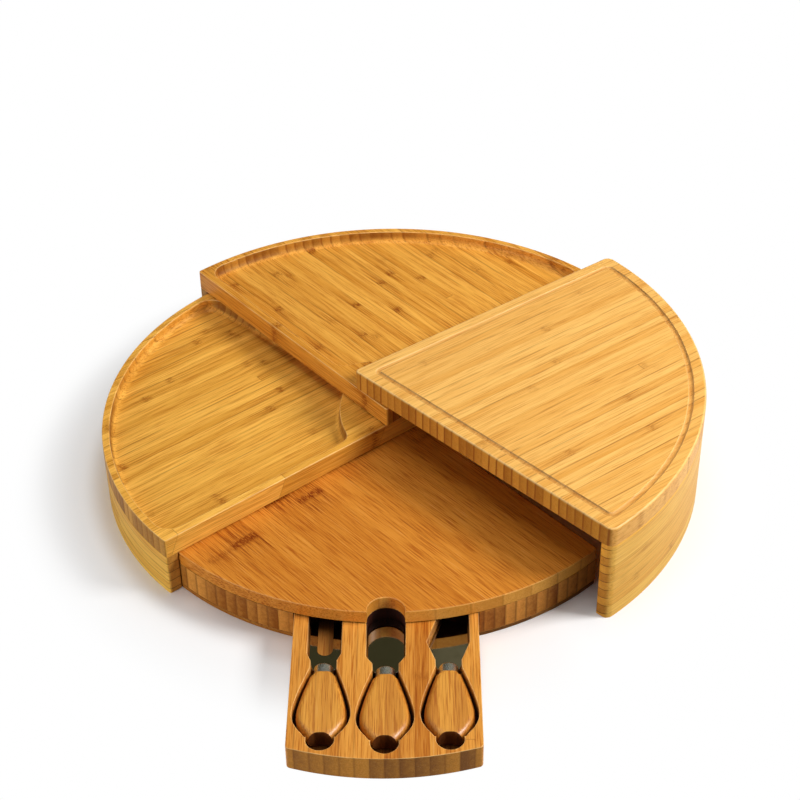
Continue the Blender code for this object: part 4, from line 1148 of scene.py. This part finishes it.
def dress_tiers():
    """The top board, the two trays and the skirt of each."""
    fit(top_board(), TOP_WOOD, "tier_1", "bamboo_light", "tier_1_board")
    fit(tray("middle_tray", TIER_2_RADIUS, TIER_2_BOTTOM, TIER_2_HEADING), MIDDLE_WOOD,
        "tier_2", "bamboo_gold", "tier_2_tray")
    fit(tray("lower_tray", TIER_3_RADIUS, TIER_3_BOTTOM, TIER_3_HEADING), LOWER_WOOD,
        "tier_3", "bamboo_gold", "tier_3_tray")
    tree = skirt_tree()
    for name, radius, bottom, heading, outer, inner, foot, finish, body, slot in (
            ("top_skirt", TIER_1_RADIUS, TIER_1_BOTTOM, TIER_1_HEADING, BOARD_CORNER,
             TOP_SKIRT_INNER_ROUND, TOP_SKIRT_FOOT_ROUND, TOP_SKIRT_WOOD, "tier_1", "bamboo_light"),
            ("middle_skirt", TIER_2_RADIUS, TIER_2_BOTTOM, TIER_2_HEADING, PANEL_CORNER,
             SKIRT_INNER_ROUND, SKIRT_FOOT_ROUND, MIDDLE_SKIRT_WOOD, "tier_2", "bamboo_gold"),
            ("lower_skirt", TIER_3_RADIUS, TIER_3_BOTTOM, TIER_3_HEADING, PANEL_CORNER,
             SKIRT_INNER_ROUND, SKIRT_FOOT_ROUND, LOWER_SKIRT_WOOD, "tier_3", "bamboo_gold")):
        made = skirt(name, tree, finish, radius=radius, height=bottom - SKIRT_GAP, heading=heading,
                     outer_rounding=outer, inner_rounding=inner, foot_rounding=foot)
        fit(made, finish, body, slot, body + "_skirt")


def dress_base():
    """The base's lid, underside and the two blocks beside the drawer."""
    fit(base_lid(), LID_WOOD, "base", "bamboo_amber", "base_top_panel")
    underside = slab("base_underside", lambda inset: wedge(BASE_RADIUS, PANEL_CORNER, PANEL_CORNER, inset),
                     0.0, FLOOR_PANEL_TOP, FLOOR_PANEL_ROUND)
    fit(underside, FLOOR_PANEL_WOOD, "base", "bamboo_edge", "base_bottom_panel")
    for name, side in (("base_right_rail", 1), ("base_left_rail", -1)):
        rail = slab(name + "_block", lambda inset: rail_outline(inset, side), RAIL_BOTTOM, RAIL_TOP,
                    RAIL_ROUND)
        fit(rail, RAIL_WOOD, "base", "bamboo_edge", name)


def dress_drawer():
    """The drawer block and the three knives."""
    fit(drawer_body(), DRAWER_WOOD, "drawer", "bamboo_gold", "drawer_block")
    for name in KNIVES:
        fit(blade(name), BLADE_STEEL, name, "polished_steel", name + "_blade")
        fit(ferrule(name), COLLAR_STEEL, name, "polished_steel", name + "_ferrule")
        fit(grip(name), GRIP_WOOD, name, "bamboo_handle", name + "_handle")


def dress_hidden_nodes():
    """Finishes of the CAD nodes that stay: the block round the pivot and the pivot's own hardware."""
    for node, finish in (("base_apex_block", RAIL_WOOD), ("pivot_bolt", ZINC), ("pivot_insert", ZINC),
                         ("washer_over_base", NYLON), ("washer_over_tier_3", NYLON),
                         ("washer_over_tier_2", NYLON)):
        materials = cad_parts[node].data.materials
        for index in range(len(materials)):
            materials[index] = finish
        if not materials:
            materials.append(finish)


# Studio

def set_camera():
    """Camera at the photograph's viewing angle."""
    ahead = (CAMERA_AIM - CAMERA_PLACE).normalized()
    level = ahead.cross(Vector((0.0, 0.0, 1.0))).normalized()
    upright = level.cross(ahead)
    right = math.cos(CAMERA_ROLL) * level + math.sin(CAMERA_ROLL) * upright
    up = math.cos(CAMERA_ROLL) * upright - math.sin(CAMERA_ROLL) * level
    data = bpy.data.cameras.new("camera")
    data.lens = FOCAL_PIXELS * SENSOR_WIDTH / PICTURE_PIXELS
    data.sensor_width = SENSOR_WIDTH
    data.shift_x = (PICTURE_PIXELS / 2 - AXIS_PIXEL_X) / PICTURE_PIXELS
    data.shift_y = (AXIS_PIXEL_Y - PICTURE_PIXELS / 2) / PICTURE_PIXELS
    camera = put("camera", data)
    camera.matrix_world = Matrix((right, up, -ahead)).transposed().to_4x4()
    camera.location = CAMERA_PLACE
    bpy.context.scene.camera = camera


def lamp(name, place, aim, size, power):
    """Soft square lamp."""
    data = bpy.data.lights.new(name, "AREA")
    data.shape = "SQUARE"
    data.size = size
    data.energy = power
    made = put(name, data)
    made.location = place
    made.rotation_euler = (Vector(aim) - Vector(place)).to_track_quat("-Z", "Y").to_euler()


def set_surroundings():
    """White surroundings to look at and to mirror, which light the object only a little."""
    world = bpy.data.worlds.new("studio")
    bpy.context.scene.world = world
    world.use_nodes = True
    world.node_tree.nodes.clear()
    w = Wiring(world.node_tree)
    rays = w.terms("ShaderNodeLightPath")
    bounced = rays["Is Glossy Ray"].math("MAXIMUM", rays["Is Transmission Ray"])
    seen = rays["Is Camera Ray"].math("MAXIMUM", bounced)
    fill = w.term("ShaderNodeBackground", {"Color": FILL_COLOUR, "Strength": FILL_STRENGTH})
    white = w.term("ShaderNodeBackground", {"Color": WHITE, "Strength": 1.0})
    mixed = w.term("ShaderNodeMixShader", {0: seen, 1: fill, 2: white})
    w.node("ShaderNodeOutputWorld", {0: mixed})


def stage_sheet(name, finish_name, corners, surface):
    """Flat sheet of the studio, with a function that wires its surface."""
    mesh = bpy.data.meshes.new(name)
    mesh.from_pydata(corners, [], [(0, 1, 2, 3)])
    finish = bpy.data.materials.new(finish_name)
    finish.use_nodes = True
    finish.node_tree.nodes.clear()
    w = Wiring(finish.node_tree)
    w.node("ShaderNodeOutputMaterial", {0: surface(w)})
    mesh.materials.append(finish)
    sheet = put(name, mesh)
    return sheet


def floor_surface(w):
    """Pale floor that turns pure white to the eye a little way out from the board."""
    rays = w.terms("ShaderNodeLightPath")
    seen = rays["Is Camera Ray"].math("MAXIMUM", rays["Is Glossy Ray"])
    tone = w.blend(rays["Is Camera Ray"], FLOOR_TONE, FLOOR_TONE_SEEN)
    plain = w.term("ShaderNodeBsdfDiffuse", {"Color": tone})
    glow = w.term("ShaderNodeEmission", {"Color": WHITE, "Strength": 1.0})
    x, y, _ = w.split(w.terms("ShaderNodeTexCoord")["Object"])
    out = (x * x + y * y).math("SQRT")
    inner, outer = [w.fade(out, start, end, 0.0, share) for start, end, share in FLOOR_RINGS]
    return w.term("ShaderNodeMixShader", {0: seen * (inner + outer), 1: plain, 2: glow})


def card_surface(w):
    """Dark card with a paler right half."""
    x = w.split(w.terms("ShaderNodeTexCoord")["Object"])[0]
    return w.term("ShaderNodeEmission", {"Color": w.blend(w.fade(x, 0.0, 0.07), paint(77, 73, 49),
                                                          paint(124, 117, 91)), "Strength": 1.0})


def set_studio():
    """White surroundings, soft lamps, pale floor and the dark card that the blades mirror."""
    set_surroundings()
    lamp("key lamp", (1.36, -0.22, 1.13), (0.0, 0.0, 0.02), size=0.6, power=28.0)
    lamp("top lamp", (-0.1, 0.1, 2.2), (0.0, 0.0, 0.02), size=1.2, power=13.0)
    lamp("left lamp", (-1.35, -1.20, 0.30), (0.0, -0.05, 0.02), size=0.6, power=13.4)
    corners = [(x * FLOOR_REACH, y * FLOOR_REACH, 0.0) for x, y in ((-1, -1), (1, -1), (1, 1), (-1, 1))]
    stage_sheet("studio_floor", "White floor", corners, floor_surface)
    card = stage_sheet("dark_card", "Dark card", CARD_CORNERS, card_surface)
    card.visible_camera = False
    card.visible_diffuse = False
    card.visible_shadow = False
    bpy.context.scene.view_settings.view_transform = "Standard"


dress_tiers()
dress_base()
dress_drawer()
dress_hidden_nodes()
set_camera()
set_studio()
